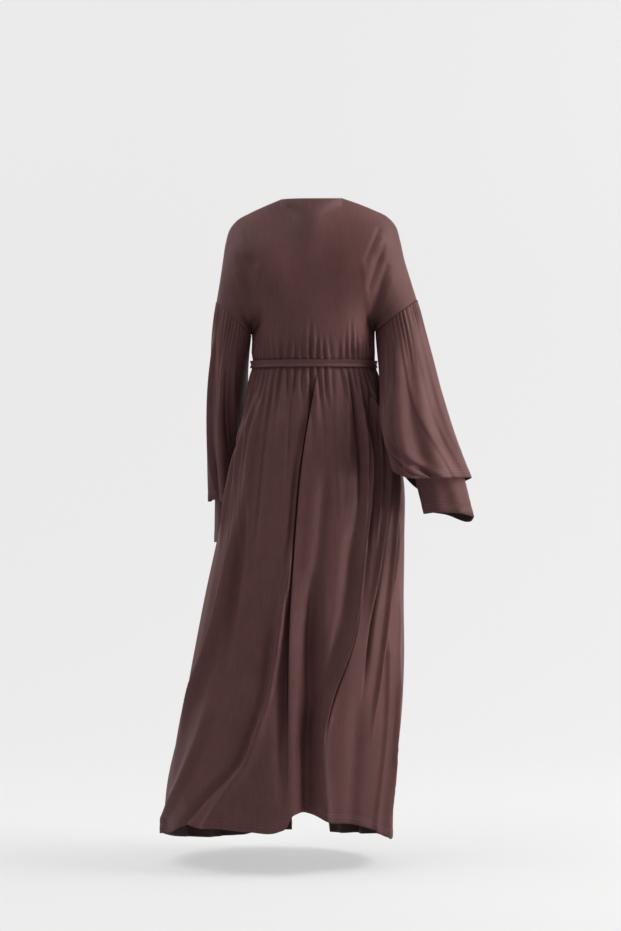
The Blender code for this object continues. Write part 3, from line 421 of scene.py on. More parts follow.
# %% Sections and folds of the sleeves
SLEEVE_GATHERS = 36
SLEEVE_GATHER_AT_SEAM = 0.0012
SLEEVE_GATHER_OPEN = 0.0018
RING_COLUMNS = "along outer outer_drop inner inner_drop middle_y half_deep skew"
RING_SHARES = "along skew"
SLEEVE_RIGHT = table(
    RING_COLUMNS,
    (0, 246, 235, 151, 308, 4, 64, 0),
    (0.1, 258, 282, 153, 338, 14, 66, 0),
    (0.32, 282, 378, 158, 408, 48, 70, -0.06),
    (0.55, 306, 470, 160, 480, 88, 74, -0.18),
    (0.78, 333, 562, 166, 552, 116, 76, -0.26),
    (1, 363, 642, 182, 622, 128, 77, -0.26),
    plain=RING_SHARES,
)
SLEEVE_LEFT = table(
    RING_COLUMNS,
    (0, 218, 240, 138, 315, -6, 64, 0),
    (0.1, 225, 290, 142, 348, -20, 68, 0.03),
    (0.32, 233.5, 392, 148, 424, -58, 82, 0.1),
    (0.55, 236.5, 496, 147, 512, -104, 94, 0.16),
    (0.78, 237, 598, 140, 602, -150, 100, 0.2),
    (1, 234.5, 700, 136, 698, -192, 104, 0.2),
    plain=RING_SHARES,
)
UNDER_SLEEVE_RIGHT = table(
    RING_COLUMNS,
    (0, 246, 235, 151, 308, 4, 64, 0),
    (0.12, 248, 288, 166, 336, 14, 56, 0),
    (0.35, 280, 400, 180, 420, 56, 54, -0.06),
    (0.75, 344, 610, 222, 600, 120, 50, -0.12),
    (1, 373, 736, 253, 728, 132, 48, -0.12),
    plain=RING_SHARES,
)
UNDER_SLEEVE_LEFT = table(
    RING_COLUMNS,
    (0, 218, 240, 138, 315, -6, 64, 0),
    (0.12, 213, 292, 150, 340, -18, 56, 0.02),
    (0.35, 220, 420, 158, 436, -70, 60, 0.09),
    (0.75, 225.5, 650, 150, 648, -172, 68, 0.18),
    (1, 229, 800, 146, 794, -220, 70, 0.18),
    plain=RING_SHARES,
)

SLEEVE_FOLD_COLUMNS = "name top low start lift half_deg"
SLEEVE_FOLD_PLAIN = "top low start half_deg"
SLEEVE_FOLDS_RIGHT = table(
    SLEEVE_FOLD_COLUMNS,
    ("outer ridge", 14, 20, 0.1, 5, 13),
    ("outer trough", 38, 44, 0.1, -5, 13),
    ("back ridge a", 62, 62, 0.05, 5, 12),
    ("back trough", 84, 84, 0.1, -6, 12),
    ("back ridge b", 104, 104, 0.05, 9, 11),
    ("inner trough", 126, 122, 0.2, -7, 10),
    ("inner ridge", 146, 138, 0.3, 6, 8),
    ("front ridge a", 215, 220, 0.15, 6, 15),
    ("front trough a", 245, 248, 0.15, -6, 14),
    ("front ridge b", 275, 278, 0.1, 6, 14),
    ("front trough b", 305, 306, 0.15, -6, 14),
    plain=SLEEVE_FOLD_PLAIN,
)
SLEEVE_FOLDS_LEFT = table(
    SLEEVE_FOLD_COLUMNS,
    ("outer trough", 10, 12, 0.1, -3, 12),
    ("outer ridge", 28, 40, 0.1, 5, 11),
    ("back trough", 50, 68, 0.1, -10, 10),
    ("back ridge", 76, 96, 0.1, 7, 12),
    ("back trough b", 104, 124, 0.2, -5, 12),
    ("front ridge a", 216, 222, 0.2, 6, 15),
    ("front trough a", 244, 250, 0.15, -7, 14),
    ("front ridge b", 276, 280, 0.1, 8, 14),
    ("front trough b", 306, 312, 0.15, -6, 14),
    ("front ridge c", 332, 340, 0.15, 4, 13),
    plain=SLEEVE_FOLD_PLAIN,
)

# A crease's path is its angle round the sleeve at five places along it, and less and more are
# its widths towards smaller and larger angles
CREASE_PLACES = (0.10, 0.35, 0.60, 0.85, 1.00)
SLEEVE_CREASE_COLUMNS = "name path start end lift less more"
SLEEVE_CREASE_PLAIN = "path start end less more"
SLEEVE_CREASES_RIGHT = table(
    SLEEVE_CREASE_COLUMNS,
    ("elbow crease", (176, 175, 171, 149, 92), 0.48, 1.3, -6, 4, 2.5),
    ("elbow ridge", (168, 166, 160, 138, 84), 0.44, 1.3, 3, 5, 3),
    ("middle drag", (140, 143, 142, 124, 76), 0.36, 1.3, -4, 6, 3),
    ("long ridge", (104, 109, 113, 103, 64), 0.1, 1.3, 4.5, 12, 3),
    ("long crease", (110, 116, 121, 112, 72), 0.16, 1.3, -3.5, 3, 7),
    ("second ridge", (92, 88, 76, 52, 42), 0.08, 1.3, 3, 8, 3),
    ("outer drag", (66, 60, 50, 34, 26), 0.2, 1.3, -3, 5, 9),
    ("upper drag", (128, 134, 140, 140, 140), 0.06, 0.6, -3, 5, 3),
    ("outer ridge", (40, 34, 28, 18, 12), 0.12, 1.3, 2.4, 8, 4),
    plain=SLEEVE_CREASE_PLAIN,
)
SLEEVE_CREASES_LEFT = table(
    SLEEVE_CREASE_COLUMNS,
    ("edge crease", (43, 44, 47, 62, 78), 0.1, 1.3, -6, 3, 5),
    ("edge lip", (36, 37, 39, 52, 66), 0.1, 1.3, 3, 6, 3),
    ("back drag", (92, 96, 104, 118, 128), 0.2, 1.3, -3.5, 5, 4),
    ("inner ridge", (116, 122, 132, 140, 144), 0.12, 1.3, 3, 7, 3),
    ("upper crease", (70, 74, 80, 84, 86), 0.05, 0.62, -3, 4, 4),
    plain=SLEEVE_CREASE_PLAIN,
)

# How far each sleeve's hem hangs below its last ring, by the angle round the sleeve
HANG_COLUMNS = "around right left"
SLEEVE_HEM = table(
    HANG_COLUMNS,
    (0, 0, 0), (30, 4, 4), (60, 8, -3), (90, 14, 4),
    (118, 18, 6), (140, 6, 0), (160, -17, -1), (182, -28, 3),
    (200, -16, 2), (218, 12, -4), (240, 44, 1), (262, 48, 7),
    (290, 34, 9), (325, 12, 2), (360, 0, 0),
    plain="around",
)
UNDER_HEM = table(
    HANG_COLUMNS,
    (0, 0, 0), (30, -4, 2), (60, -8, 0), (90, -8, -3),
    (118, -6, 1), (150, -1, 3), (180, -2, 0), (210, -4, -4),
    (240, -3, -2), (265, 0, 3), (290, 8, 5), (315, 12, 2),
    (340, 8, 0), (360, 0, 0),
    plain="around",
)


def hem_hang(hem, side, around):
    """How far a sleeve's hem hangs below its last ring."""
    hang = [row.right if side < 0 else row.left for row in hem]
    return through(around % 360.0, [row.around for row in hem], hang)


def ring_parts(rings, side, along):
    """Centre, outward half axis and back half axis of the sleeve ring at a place along it."""
    places = [ring.along for ring in rings]
    size = through(along, places, [ring[1:] for ring in rings])
    outer_x, inner_x = side * size[..., 0], side * size[..., 2]
    outer_z, inner_z = -size[..., 1], -size[..., 3]
    zero = np.zeros(np.shape(along))
    centre = np.stack([(outer_x + inner_x) / 2, size[..., 4], (outer_z + inner_z) / 2], axis=-1)
    outward = np.stack([(outer_x - inner_x) / 2, zero, (outer_z - inner_z) / 2], axis=-1)
    backward = np.stack([size[..., 6] * size[..., 5] * side, size[..., 5], zero], axis=-1)
    return centre, outward, backward


def ring_point(rings, side, around, along):
    """Point on the plain sleeve and the direction straight out from its ring."""
    centre, outward, backward = ring_parts(rings, side, along)
    angle = np.radians(around)[..., None]
    point = centre + np.cos(angle) * outward + np.sin(angle) * backward
    wide = np.linalg.norm(outward, axis=-1, keepdims=True)
    deep = np.linalg.norm(backward, axis=-1, keepdims=True)
    out = unit(np.cos(angle) * outward / wide**2 + np.sin(angle) * backward / deep**2)
    return point, out


print("sleeve folds: right %d, left %d" % (len(SLEEVE_FOLDS_RIGHT), len(SLEEVE_FOLDS_LEFT)))

# %% [markdown]
# The bell is drawn up over the shoulder and nearly plain under the arm, so its gathers shrink
# towards the body. The under-sleeve is plain, and slips inside the bell at the armhole.

# %% The sleeve surfaces
SLEEVE_LONG = 0.40
UNDER_SLEEVE_LONG = 0.48
UNDER_SLEEVE_INSET = 0.0029
SLEEVE_GATHER_OPENING = (0.01, 0.06)
SLEEVE_FOLD_GROWTH = 0.30
SLEEVE_CREASE_GROWTH = 0.16
SLEEVE_CREASE_FADE = 0.20


def sleeve_lift(folds, around, along):
    """Sum of the long folds of a sleeve."""
    total = np.zeros(np.shape(around))
    for fold in folds:
        centre = fold.top + (fold.low - fold.top) * along
        offset = (around - centre + 180.0) % 360.0 - 180.0
        growing = ease(along, fold.start, fold.start + SLEEVE_FOLD_GROWTH)
        total = total + fold.lift * growing * (0.5 + 0.5 * along) * bump(offset, fold.half_deg)
    return total


def sleeve_crease_lift(creases, around, along):
    """Sum of the crisp creases of a sleeve."""
    total = np.zeros(np.shape(around))
    for crease in creases:
        offset = (around - through(along, CREASE_PLACES, crease.path) + 180.0) % 360.0 - 180.0
        wide = np.where(offset > 0, crease.more, crease.less)
        grown = ease(along, crease.start, crease.start + SLEEVE_CREASE_GROWTH)
        fading = 1 - ease(along, crease.end - SLEEVE_CREASE_FADE, crease.end)
        total = total + crease.lift * grown * fading * bump(offset, wide)
    return total


def sleeve(side, around, along):
    """Surface of a bell over-sleeve."""
    around, along = matched(around, along)
    rings = SLEEVE_RIGHT if side < 0 else SLEEVE_LEFT
    folds = SLEEVE_FOLDS_RIGHT if side < 0 else SLEEVE_FOLDS_LEFT
    point, out = ring_point(rings, side, around, along)
    angle = np.radians(around)
    near_body = 0.5 - 0.5 * np.cos(angle)  # nothing over the shoulder, one under the arm
    opened = ease(along, *SLEEVE_GATHER_OPENING)
    size = SLEEVE_GATHER_AT_SEAM + (SLEEVE_GATHER_OPEN - SLEEVE_GATHER_AT_SEAM) * opened
    longer = 0.26 + waves(angle, (0.12, 5, 1.0), (0.08, 11, 0))
    patchy = 1.0 + waves(angle, (0.35, 4, 0.8), (0.35, 9, 2.0))
    size = size * patchy * (1 - 0.75 * near_body**2) * (1 - ease(along, 0.03, longer))
    wave = np.cos(angle * SLEEVE_GATHERS + waves(angle, (0.8, 3, 0), (0.9, 8, 1.0)))
    creases = SLEEVE_CREASES_RIGHT if side < 0 else SLEEVE_CREASES_LEFT
    lift = wave * size + sleeve_lift(folds, around, along) + sleeve_crease_lift(creases, around, along)
    lift = lift + waves(angle, (0.0007, 7, 9 * along)) * ease(along, 0.2, 0.5)
    lift = lift + hem_line((1 - along) * SLEEVE_LONG)
    point = point + out * lift[..., None]
    point[..., 2] -= hem_hang(SLEEVE_HEM, side, around) * ease(along, 0.45, 1.0)
    return point


def under_sleeve(side, around, along):
    """Surface of a straight under-sleeve, set inside the bell at the armhole."""
    around, along = matched(around, along)
    rings = UNDER_SLEEVE_RIGHT if side < 0 else UNDER_SLEEVE_LEFT
    point, out = ring_point(rings, side, around, along)
    angle = np.radians(around)
    lift = hem_line((1 - along) * UNDER_SLEEVE_LONG) - SLEEVE_GATHER_AT_SEAM - UNDER_SLEEVE_INSET
    lift = lift + waves(angle, (0.0025, 3, 0.35)) * ease(along, 0.3, 1.0)
    lift = lift + waves(angle, (0.0010, 8, 6 * along)) * ease(along, 0.5, 1.0)
    point = point + out * lift[..., None]
    point[..., 2] -= hem_hang(UNDER_HEM, side, around) * ease(along, 0.6, 1.0)
    return point


# %% [markdown]
# The bodice is cut with the shoulder running on down the upper arm. Its top edge is the neck
# and shoulder seam, its lower edge the waist, and its sides the armhole and side seams. A
# surface blended between those four edges, rounded in the middle, hangs as such a piece does.

# %% Edges of the bodice
NECK_HALF = 4 / 13
UNDERARM_PART = 0.72
UNDERARM_STEP = 0.0026
NECK_BACK = (0.0, 0.056, -0.004)
NECK_FRONT = (-0.002, -0.078, -0.058)
BACK_FULLNESS = 0.070
FRONT_FULLNESS = 0.078
SIDE_PULL_FROM = 0.30
UNDERARM_ROUNDING = 1.5

SHOULDER_RIGHT = table(
    "out back up",
    (72, 0, 2), (110, 1, -11), (146, 2, -26),
    (178, 2, -42), (197, 2, -63), (207, 2, -95),
    (217, 2, -140), (231, 3, -187), (246, 4, -235),
)
SHOULDER_LEFT = table(
    "out back up",
    (70, 0, -2), (108, 0, -18), (142, 0, -34),
    (170, -1, -50), (187, -2, -71), (196, -3, -101),
    (203, -4, -145), (210, -5, -193), (218, -6, -240),
)


def shoulder_line(side, part):
    """The shoulder seam, from the neck out and down the arm to the armhole."""
    points = np.array(SHOULDER_RIGHT if side < 0 else SHOULDER_LEFT)
    legs = np.linalg.norm(np.diff(points, axis=0), axis=1)
    places = np.concatenate([[0.0], np.cumsum(legs)]) / legs.sum()
    point = through(part, places, points)
    point[..., 0] *= side
    return point


def armhole(side, facing, around):
    """The armhole seam, from its top over the back (facing 1) or the front to the underarm."""
    rings = SLEEVE_RIGHT if side < 0 else SLEEVE_LEFT
    return ring_point(rings, side, facing * around, np.zeros(np.shape(around)))[0]


def side_edge(side, facing, down):
    """Outer edge of a bodice piece: the armhole, then the side seam down to the waist."""
    around = np.clip(down / UNDERARM_PART, 0.0, 1.0) * 180.0
    point = armhole(side, facing, around)
    point[..., 0] -= side * UNDERARM_STEP * ease(around, 95.0, 180.0)
    low = section_ring(np.full(np.shape(down), 90.0 * side), WAIST_DROP + 0 * around)[0]
    start = armhole(side, facing, np.full(np.shape(down), 180.0))
    start[..., 0] -= side * UNDERARM_STEP
    part = np.clip((down - UNDERARM_PART) / (1 - UNDERARM_PART), 0.0, 1.0)[..., None]
    return np.where(part > 0, start + (low - start) * part, point)


def neckline(facing, across):
    """The neck edge: across goes from -1 at the wearer's right to 1 at the left."""
    right = np.array(SHOULDER_RIGHT[0]) * (-1, 1, 1)
    left = np.array(SHOULDER_LEFT[0])
    centre = np.array(NECK_BACK if facing > 0 else NECK_FRONT)
    end = np.where((across < 0)[..., None], right, left)
    turn = np.radians(90.0 * np.abs(across))[..., None]
    sweep = np.sin(turn) * (end - centre)
    reach = (1 - np.cos(turn)) * (end - centre)
    return centre + np.array([1.0, 0.0, 0.0]) * sweep + np.array([0.0, 1.0, 1.0]) * reach


def top_edge(facing, across):
    """Neckline and shoulder seam in one, from the right armhole to the left."""
    reach = np.abs(across)
    neck = neckline(facing, np.clip(across / NECK_HALF, -1.0, 1.0))
    part = np.clip((reach - NECK_HALF) / (1 - NECK_HALF), 0.0, 1.0)
    arm = np.where((across < 0)[..., None], shoulder_line(-1, part), shoulder_line(1, part))
    return np.where((reach < NECK_HALF)[..., None], neck, arm)


def body_angle(facing, across):
    """Angle round the body, in degrees, of a place across the bodice."""
    return 90.0 * across if facing > 0 else 180.0 - 90.0 * across


def waist_edge(facing, across):
    """The waist seam of the bodice."""
    return section_ring(body_angle(facing, across), np.full(np.shape(across), WAIST_DROP))[0]


# %% [markdown]
# Where the arm meets the body the cloth is dragged into soft troughs that point from the
# underarm to the shoulder. Each one is a line between two points, given by x and drop.

# %% The bodice surface
EDGE_STEP = 0.005
BODICE_DRAGS = table(
    "name x1 drop1 x2 drop2 lift half",
    ("right armhole trough", -160, 150, -150, 285, -9, 21),
    ("left armhole trough", 142, 160, 138, 290, -9, 21),
    ("right drag a", -156, 78, -126, 150, -2.4, 5.5),
    ("right drag b", -163, 98, -130, 186, 1.8, 6),
    ("right drag c", -169, 118, -133, 214, -2.4, 5),
    ("right drag d", -174, 140, -137, 246, 1.8, 6),
    ("right drag e", -178, 164, -143, 274, -2.6, 5.5),
    ("right drag f", -186, 192, -154, 292, 1.6, 7),
    ("right drag g", -122, 170, -138, 300, 1.6, 7),
    ("left drag a", 150, 84, 124, 158, -2.2, 5.5),
    ("left drag b", 160, 112, 128, 204, 1.6, 6),
    ("left drag c", 166, 140, 131, 248, -2.4, 5.5),
    ("left drag d", 171, 176, 138, 282, 1.6, 6.5),
    ("left drag e", 112, 180, 126, 296, -1.8, 6.5),
)


def smooth_top(facing, across):
    """The top edge as the cloth below it lies, without the corners at the neck."""
    places = np.array((-1.0, -0.78, -0.54, -NECK_HALF, 0.0, NECK_HALF, 0.54, 0.78, 1.0))
    return through(across, places, top_edge(facing, places))


def edge_blend(facing, across, down):
    """Straight blend of the top edge and the waist, rounding in fast below the neck."""
    settled = ease(down, 0.0, 0.12)[..., None]
    top = top_edge(facing, across) * (1 - settled) + smooth_top(facing, across) * settled
    waist = waist_edge(facing, across)
    point = (1 - down[..., None]) * top + down[..., None] * waist
    point[..., 1] = top[..., 1] * (1 - down) ** 4 + waist[..., 1] * down
    return point


def side_pull(side, facing, across, down):
    """How far a side edge draws the cloth, its underarm corner rounded off further in."""
    end = np.full(np.shape(across), float(side))
    share = ease(np.clip((1 + side * across) / 2, 0.0, 1.0), SIDE_PULL_FROM, 1.0)
    spread = UNDERARM_ROUNDING * (1 - share) * down * (1 - down)
    total = 0.0
    weights = 0.0
    for step in np.linspace(-1.0, 1.0, 9):
        weight = math.cos(step * 1.4)
        near = down + step * spread
        total = total + weight * (side_edge(side, facing, near) - edge_blend(facing, end, near))
        weights = weights + weight
    return share[..., None] ** 2 * total / weights


def bodice_plain(facing, across, down):
    """Bodice surface between its edges, without gathers or drag folds."""
    across, down = matched(across, down)
    point = edge_blend(facing, across, down)
    point = point + side_pull(-1, facing, across, down) + side_pull(1, facing, across, down)
    full = BACK_FULLNESS if facing > 0 else FRONT_FULLNESS
    rise = (1 - (1 - down) ** 6) * (1 - down**3)
    point[..., 1] += facing * full * rise * (1 - ease(np.abs(across), 0.30, 1.0))
    return point


def surface_out(form, across, down, turn):
    """Outward direction of a surface, from its slopes both ways."""
    step = 1e-3
    along_u = form(across + step, down) - form(across - step, down)
    along_v = form(across, down + step) - form(across, down - step)
    return unit(np.cross(along_u, along_v)) * turn


def drag_lift(point):
    """Sum of the drag folds at points of the bodice."""
    total = np.zeros(point.shape[:-1])
    for fold in BODICE_DRAGS:
        start = np.array([fold.x1, -fold.drop1])
        leg = np.array([fold.x2, -fold.drop2]) - start
        offset = point[..., (0, 2)] - start
        part = np.clip((offset @ leg) / (leg @ leg), 0.0, 1.0)
        distance = np.linalg.norm(offset - part[..., None] * leg, axis=-1)
        total = total + fold.lift * bump(distance, fold.half)
    return total


def bodice(facing, across, down):
    """Surface of the bodice with its gathers and drag folds."""
    across, down = matched(across, down)

    def form(u, v):
        return bodice_plain(facing, u, v)

    point = form(across, down)
    inside = np.clip(across, EDGE_STEP - 1, 1 - EDGE_STEP), np.clip(down, EDGE_STEP, 1 - EDGE_STEP)
    out = surface_out(form, *inside, facing)
    away = point[..., 2] + WAIST_DROP
    edge = ease(1 - np.abs(across), 0.0, 0.10) * ease(down, 0.0, 0.10)
    # The gathers are shallower where the side seams lie on them
    sides = 0.35 + 0.65 * ease(1 - np.abs(across), 0.0, 0.06)
    gathers = waist_gather(body_angle(facing, across), away, *BODICE_GATHER_FADE) * sides
    flat = unit(out * np.array([1.0, 1.0, 0.0]))
    return point + gathers[..., None] * flat + (drag_lift(point) * edge)[..., None] * out


print("bodice: %d drag folds" % len(BODICE_DRAGS))

# %% [markdown]
# A cut piece of cloth becomes a grid of points with its own UV map in metres, which the knit
# follows. Solidify then gives it the thickness of jersey, with the jersey outside and a darker,
# duller copy of it inside, which is painted shade for the inside of the garment. The modifier is
# applied at once, so that what is exported is plain mesh.

# %% From surface to cloth
SAME_PLACE = 1e-6


def flat_lengths(points):
    """UV in metres: mean lengths along the rows and down the columns of a grid."""
    across = np.linalg.norm(np.diff(points, axis=1), axis=2).mean(axis=0)
    down = np.linalg.norm(np.diff(points, axis=0), axis=2).mean(axis=1)
    return np.concatenate([[0.0], np.cumsum(across)]), np.concatenate([[0.0], np.cumsum(down)])


def grid_faces(rows, columns):
    """Quads of a grid of points."""
    first = np.arange(rows - 1)[:, None] * columns + np.arange(columns - 1)[None, :]
    corners = np.stack([first, first + 1, first + columns + 1, first + columns], axis=-1)
    return corners.reshape(-1, 4)


def steps(count):
    return count


def place_in_scene(name, data):
    """An object in the scene for a mesh, curve, light or camera."""
    thing = bpy.data.objects.new(name, data)
    bpy.context.scene.collection.objects.link(thing)
    return thing


def evaluated_mesh(thing):
    """Plain mesh of an object, its modifiers applied."""
    return bpy.data.meshes.new_from_object(thing.evaluated_get(bpy.context.evaluated_depsgraph_get()))


def cloth_piece(name, points, turn, closed=False):
    """A grid of points as one piece of cloth with thickness and UV, and its area."""
    rows, columns = points.shape[:2]
    u, v = flat_lengths(points)
    faces = grid_faces(rows, columns)
    if turn < 0:
        faces = faces[:, ::-1]
    mesh = bpy.data.meshes.new(name)
    mesh.from_pydata(points.reshape(-1, 3).tolist(), [], faces.tolist())
    layer = mesh.uv_layers.new(name="cloth")
    corner = faces.reshape(-1)
    coordinates = np.stack([u[corner % columns], v[corner // columns]], axis=-1)
    layer.data.foreach_set("uv", coordinates.reshape(-1))
    if closed:
        shaped = bmesh.new()
        shaped.from_mesh(mesh)
        bmesh.ops.remove_doubles(shaped, verts=shaped.verts[:], dist=SAME_PLACE)
        shaped.to_mesh(mesh)
        shaped.free()
    # The inner side takes the darker copy of the jersey, which paints the shade inside the garment
    mesh.materials.append(INSIDE_PAINTED_SHADE)
    mesh.materials.append(JERSEY)
    piece = place_in_scene(name, mesh)
    wall = piece.modifiers.new("thickness", "SOLIDIFY")
    wall.thickness = CLOTH_THICK
    wall.offset = 0.0
    wall.use_even_offset = False
    wall.material_offset = 1
    wall.material_offset_rim = 1
    plain = evaluated_mesh(piece)
    piece.modifiers.clear()
    piece.data = plain
    plain.name = name
    plain.shade_smooth()
    area = sum_area(points)
    print("%s: %d faces, %.2f square metres worn" % (name, len(plain.polygons), area))
    return piece, area


def sum_area(points):
    """Area of a grid of points."""
    side_u = points[:-1, 1:] - points[:-1, :-1]
    side_v = points[1:, :-1] - points[:-1, :-1]
    return float(np.linalg.norm(np.cross(side_u, side_v), axis=-1).sum())


# %% [markdown]
# Viscose jersey is a fine, limp knit with a soft, broad sheen. The eye sees a deep brown that
# greys where the cloth turns away, with faint columns of stitches, the wales, running down it.
# Real wales are 0.4 mm apart; they are drawn 1.6 mm apart so that they just show.

# %% Jersey finish
WALE = 0.0016
STREAK_SHARE = 0.45


def linear(hex_colour):
    """An sRGB hex colour as linear RGBA."""
    parts = [int(hex_colour[i:i + 2], 16) / 255.0 for i in (1, 3, 5)]
    rgb = [part / 12.92 if part <= 0.04045 else ((part + 0.055) / 1.055) ** 2.4 for part in parts]
    return rgb + [1.0]


def add_node(tree, kind, settings=None, links=None):
    """Adds a node, sets what is named and links its inputs, given by name or by number."""
    node = tree.nodes.new(kind)
    for name, value in (settings or {}).items():
        if isinstance(name, int) or name in node.inputs:
            node.inputs[name].default_value = value
        else:
            setattr(node, name, value)
    for name, source in (links or {}).items():
        tree.links.new(source, node.inputs[name])
    return node


def new_material(name):
    """A material and its empty node tree."""
    material = bpy.data.materials.new(name)
    material.use_nodes = True
    material.node_tree.nodes.clear()
    return material, material.node_tree


def jersey_material(name, deep, worn, sheen_tint):
    """Brown viscose jersey, knitted, dyed and soft."""
    material, tree = new_material(name)
    uv = add_node(tree, "ShaderNodeUVMap", {"uv_map": "cloth"})
    place = add_node(tree, "ShaderNodeTexCoord")
    mottle = add_node(tree, "ShaderNodeTexNoise", {"Scale": 9.0, "Detail": 5.0, "Roughness": 0.6},
                      {"Vector": place.outputs["Object"]})
    streak_place = add_node(tree, "ShaderNodeMapping", {"Scale": (260.0, 26.0, 1.0)},
                            {"Vector": uv.outputs["UV"]})
    streak = add_node(tree, "ShaderNodeTexNoise", {"Scale": 1.0, "Detail": 3.0},
                      {"Vector": streak_place.outputs["Vector"]})
    both = add_node(tree, "ShaderNodeMix", {"data_type": "FLOAT", 0: STREAK_SHARE},
                    {2: mottle.outputs["Fac"], 3: streak.outputs["Fac"]})
    ramp = add_node(tree, "ShaderNodeValToRGB", links={"Fac": both.outputs[0]})
    for element, (step, colour) in zip(ramp.color_ramp.elements, ((0.30, deep), (0.70, worn))):
        element.position = step
        element.color = linear(colour)
    wale_place = add_node(tree, "ShaderNodeMapping", {"Scale": (1.0 / WALE, 0.6 / WALE, 1.0)},
                          {"Vector": uv.outputs["UV"]})
    wales = add_node(tree, "ShaderNodeTexWave",
                     {"Scale": 0.31, "Distortion": 0.6, "Detail": 1.0, "bands_direction": "X"},
                     {"Vector": wale_place.outputs["Vector"]})
    loops = add_node(tree, "ShaderNodeTexNoise", {"Scale": 1.2, "Detail": 2.0},
                     {"Vector": wale_place.outputs["Vector"]})
    knit = add_node(tree, "ShaderNodeMath", {"operation": "ADD"},
                    {0: wales.outputs["Fac"], 1: loops.outputs["Fac"]})
    relief = add_node(tree, "ShaderNodeBump", {"Strength": 0.16, "Distance": 0.0006},
                      {"Height": knit.outputs[0]})
    shader = add_node(
        tree,
        "ShaderNodeBsdfPrincipled",
        {"Roughness": 0.58, "IOR": 1.46, "Specular IOR Level": 0.15, "Sheen Weight": 0.12,
         "Sheen Roughness": 0.45, "Sheen Tint": linear(sheen_tint)},
        {"Base Color": ramp.outputs["Color"], "Normal": relief.outputs["Normal"]},
    )
    add_node(tree, "ShaderNodeOutputMaterial", links={"Surface": shader.outputs["BSDF"]})
    return material


JERSEY = jersey_material("viscose_jersey_brown", "#4f3534", "#5e3f3d", "#b07670")
# The inside of every piece is a darker, duller copy of the jersey: painted shade for the inside of the
# garment, where little light reaches
INSIDE_PAINTED_SHADE = jersey_material("viscose_jersey_inside_painted_shade", "#2b1d1c", "#332322", "#4a3534")
print("materials:", JERSEY.name, INSIDE_PAINTED_SHADE.name)

# %% [markdown]
# The skirt is made of a back and two fronts, gathered on the waist seam. Many columns are
# needed across the gathers and few rows down them, because folds hang nearly straight.

# %% Make the skirt
PIECES = {}
BACK_ROWS = 118
FRONT_ROWS = 110
FRONT_COLUMNS = 170
CLOSER_AT_ENDS = 0.07


def close_levels(rows):
    """Levels from the waist to the hem, closer at both."""
    step = np.linspace(0.0, 1.0, steps(rows))[:, None]
    return step - CLOSER_AT_ENDS * np.sin(2 * math.pi * step)


def front_angles(first, last):
    """Angles of evenly spaced columns between the two edges of a front."""
    return first + (last - first) * np.linspace(0.0, 1.0, steps(FRONT_COLUMNS))[None, :]


# Columns of the back stand close together at a crisp crease, millimetres from its path, and
# follow it down. The counts are those of the evenly spaced columns on the right of each.
CLOSE_COLUMNS_MM = (0.7, 1.4, 2.1, 2.8, 3.6, 4.5, 5.5, 7, 9, 12)
GUIDES = (("side ridge", 52), ("fan ridge", 14), ("curved lip", 26), ("main slit", 98))
LAST_COLUMNS = 136


def crease_angle(name, level):
    """Angle of a crease at each level of the back, and the metres of cloth for each degree."""
    crease = next(crease for crease in BACK_CREASES if crease.name == name)
    angle = np.zeros(level.shape)
    # The drop depends on the angle, because the hem isn't level, so they are found in turns
    for turn in range(6):
        drop = WAIST_DROP + level * (hem_drop(angle) - WAIST_DROP)
        centre, speed = fold_centre(crease, drop, 1)
        angle = np.degrees(centre)
    return angle, np.radians(speed)


def back_angles(level):
    """Angles of all columns of the back, a row for each level."""
    close = np.array(CLOSE_COLUMNS_MM) / 1000
    close = np.concatenate([-close[::-1], [0.0], close])[None, :]
    groups = []
    reached = np.full(level.shape, -90.0)
    for name, count in GUIDES:
        angle, metres = crease_angle(name, level)
        group = angle + close / metres
        part = np.arange(steps(count))[None, :] / steps(count)
        groups += [reached + (group[:, :1] - reached) * part, group[:, :-1]]
        reached = group[:, -1:]
    part = np.linspace(0.0, 1.0, steps(LAST_COLUMNS))[None, :]
    return np.concatenate(groups + [reached + (90.0 - reached) * part], axis=1)


BACK_LEVELS = close_levels(BACK_ROWS)
FRONT_LEVELS = close_levels(FRONT_ROWS)
SKIRT_GRIDS = {
    "skirt_back": skirt(back_angles(BACK_LEVELS), BACK_LEVELS),
    "skirt_front_left": skirt(front_angles(90.0, opening_edge(1, FRONT_LEVELS)), FRONT_LEVELS),
    "skirt_front_right": skirt(front_angles(opening_edge(-1, FRONT_LEVELS), -90.0), FRONT_LEVELS),
}
for name, grid in SKIRT_GRIDS.items():
    print("%s: %d rows of %d columns" % (name, *grid.shape[:2]))
    PIECES[name] = cloth_piece(name + "_cloth", grid, -1)

# %% [markdown]
# The bodice pieces share their seams with the skirt and the sleeves, so their edges use the
# same functions and meet exactly.

# %% Make the bodice
BODICE_HALF_WIDE = 0.22
EDGE = FRONT_EDGE_GAP / BODICE_HALF_WIDE
Panel = namedtuple("Panel", "name facing first last columns rows")
for panel in (
    Panel("bodice_back", 1, -1.0, 1.0, 261, 90),
    Panel("bodice_front_left", -1, EDGE, 1.0, 131, 80),
    Panel("bodice_front_right", -1, -1.0, -EDGE, 131, 80),
):
    across = np.linspace(panel.first, panel.last, steps(panel.columns))[None, :]
    grid = bodice(panel.facing, across, np.linspace(0.0, 1.0, steps(panel.rows))[:, None])
    PIECES[panel.name] = cloth_piece(panel.name + "_cloth", grid, -panel.facing)

# %% [markdown]
# The bell sleeves are gathered all round the armhole, most over the top. The under-sleeves run
# inside them and show below, so both are full tubes.

# %% Make the sleeves
# Columns round each sleeve and rows down it
SLEEVE_COUNTS = (261, 84)
UNDER_SLEEVE_COUNTS = (121, 60)


def tube_grid(form, side, columns, rows):
    """Points of a sleeve, its last column on its first."""
    around = np.linspace(0.0, 360.0, steps(columns))
    around[-1] = 0.0
    return form(side, around[None, :], np.linspace(0.0, 1.0, steps(rows))[:, None])


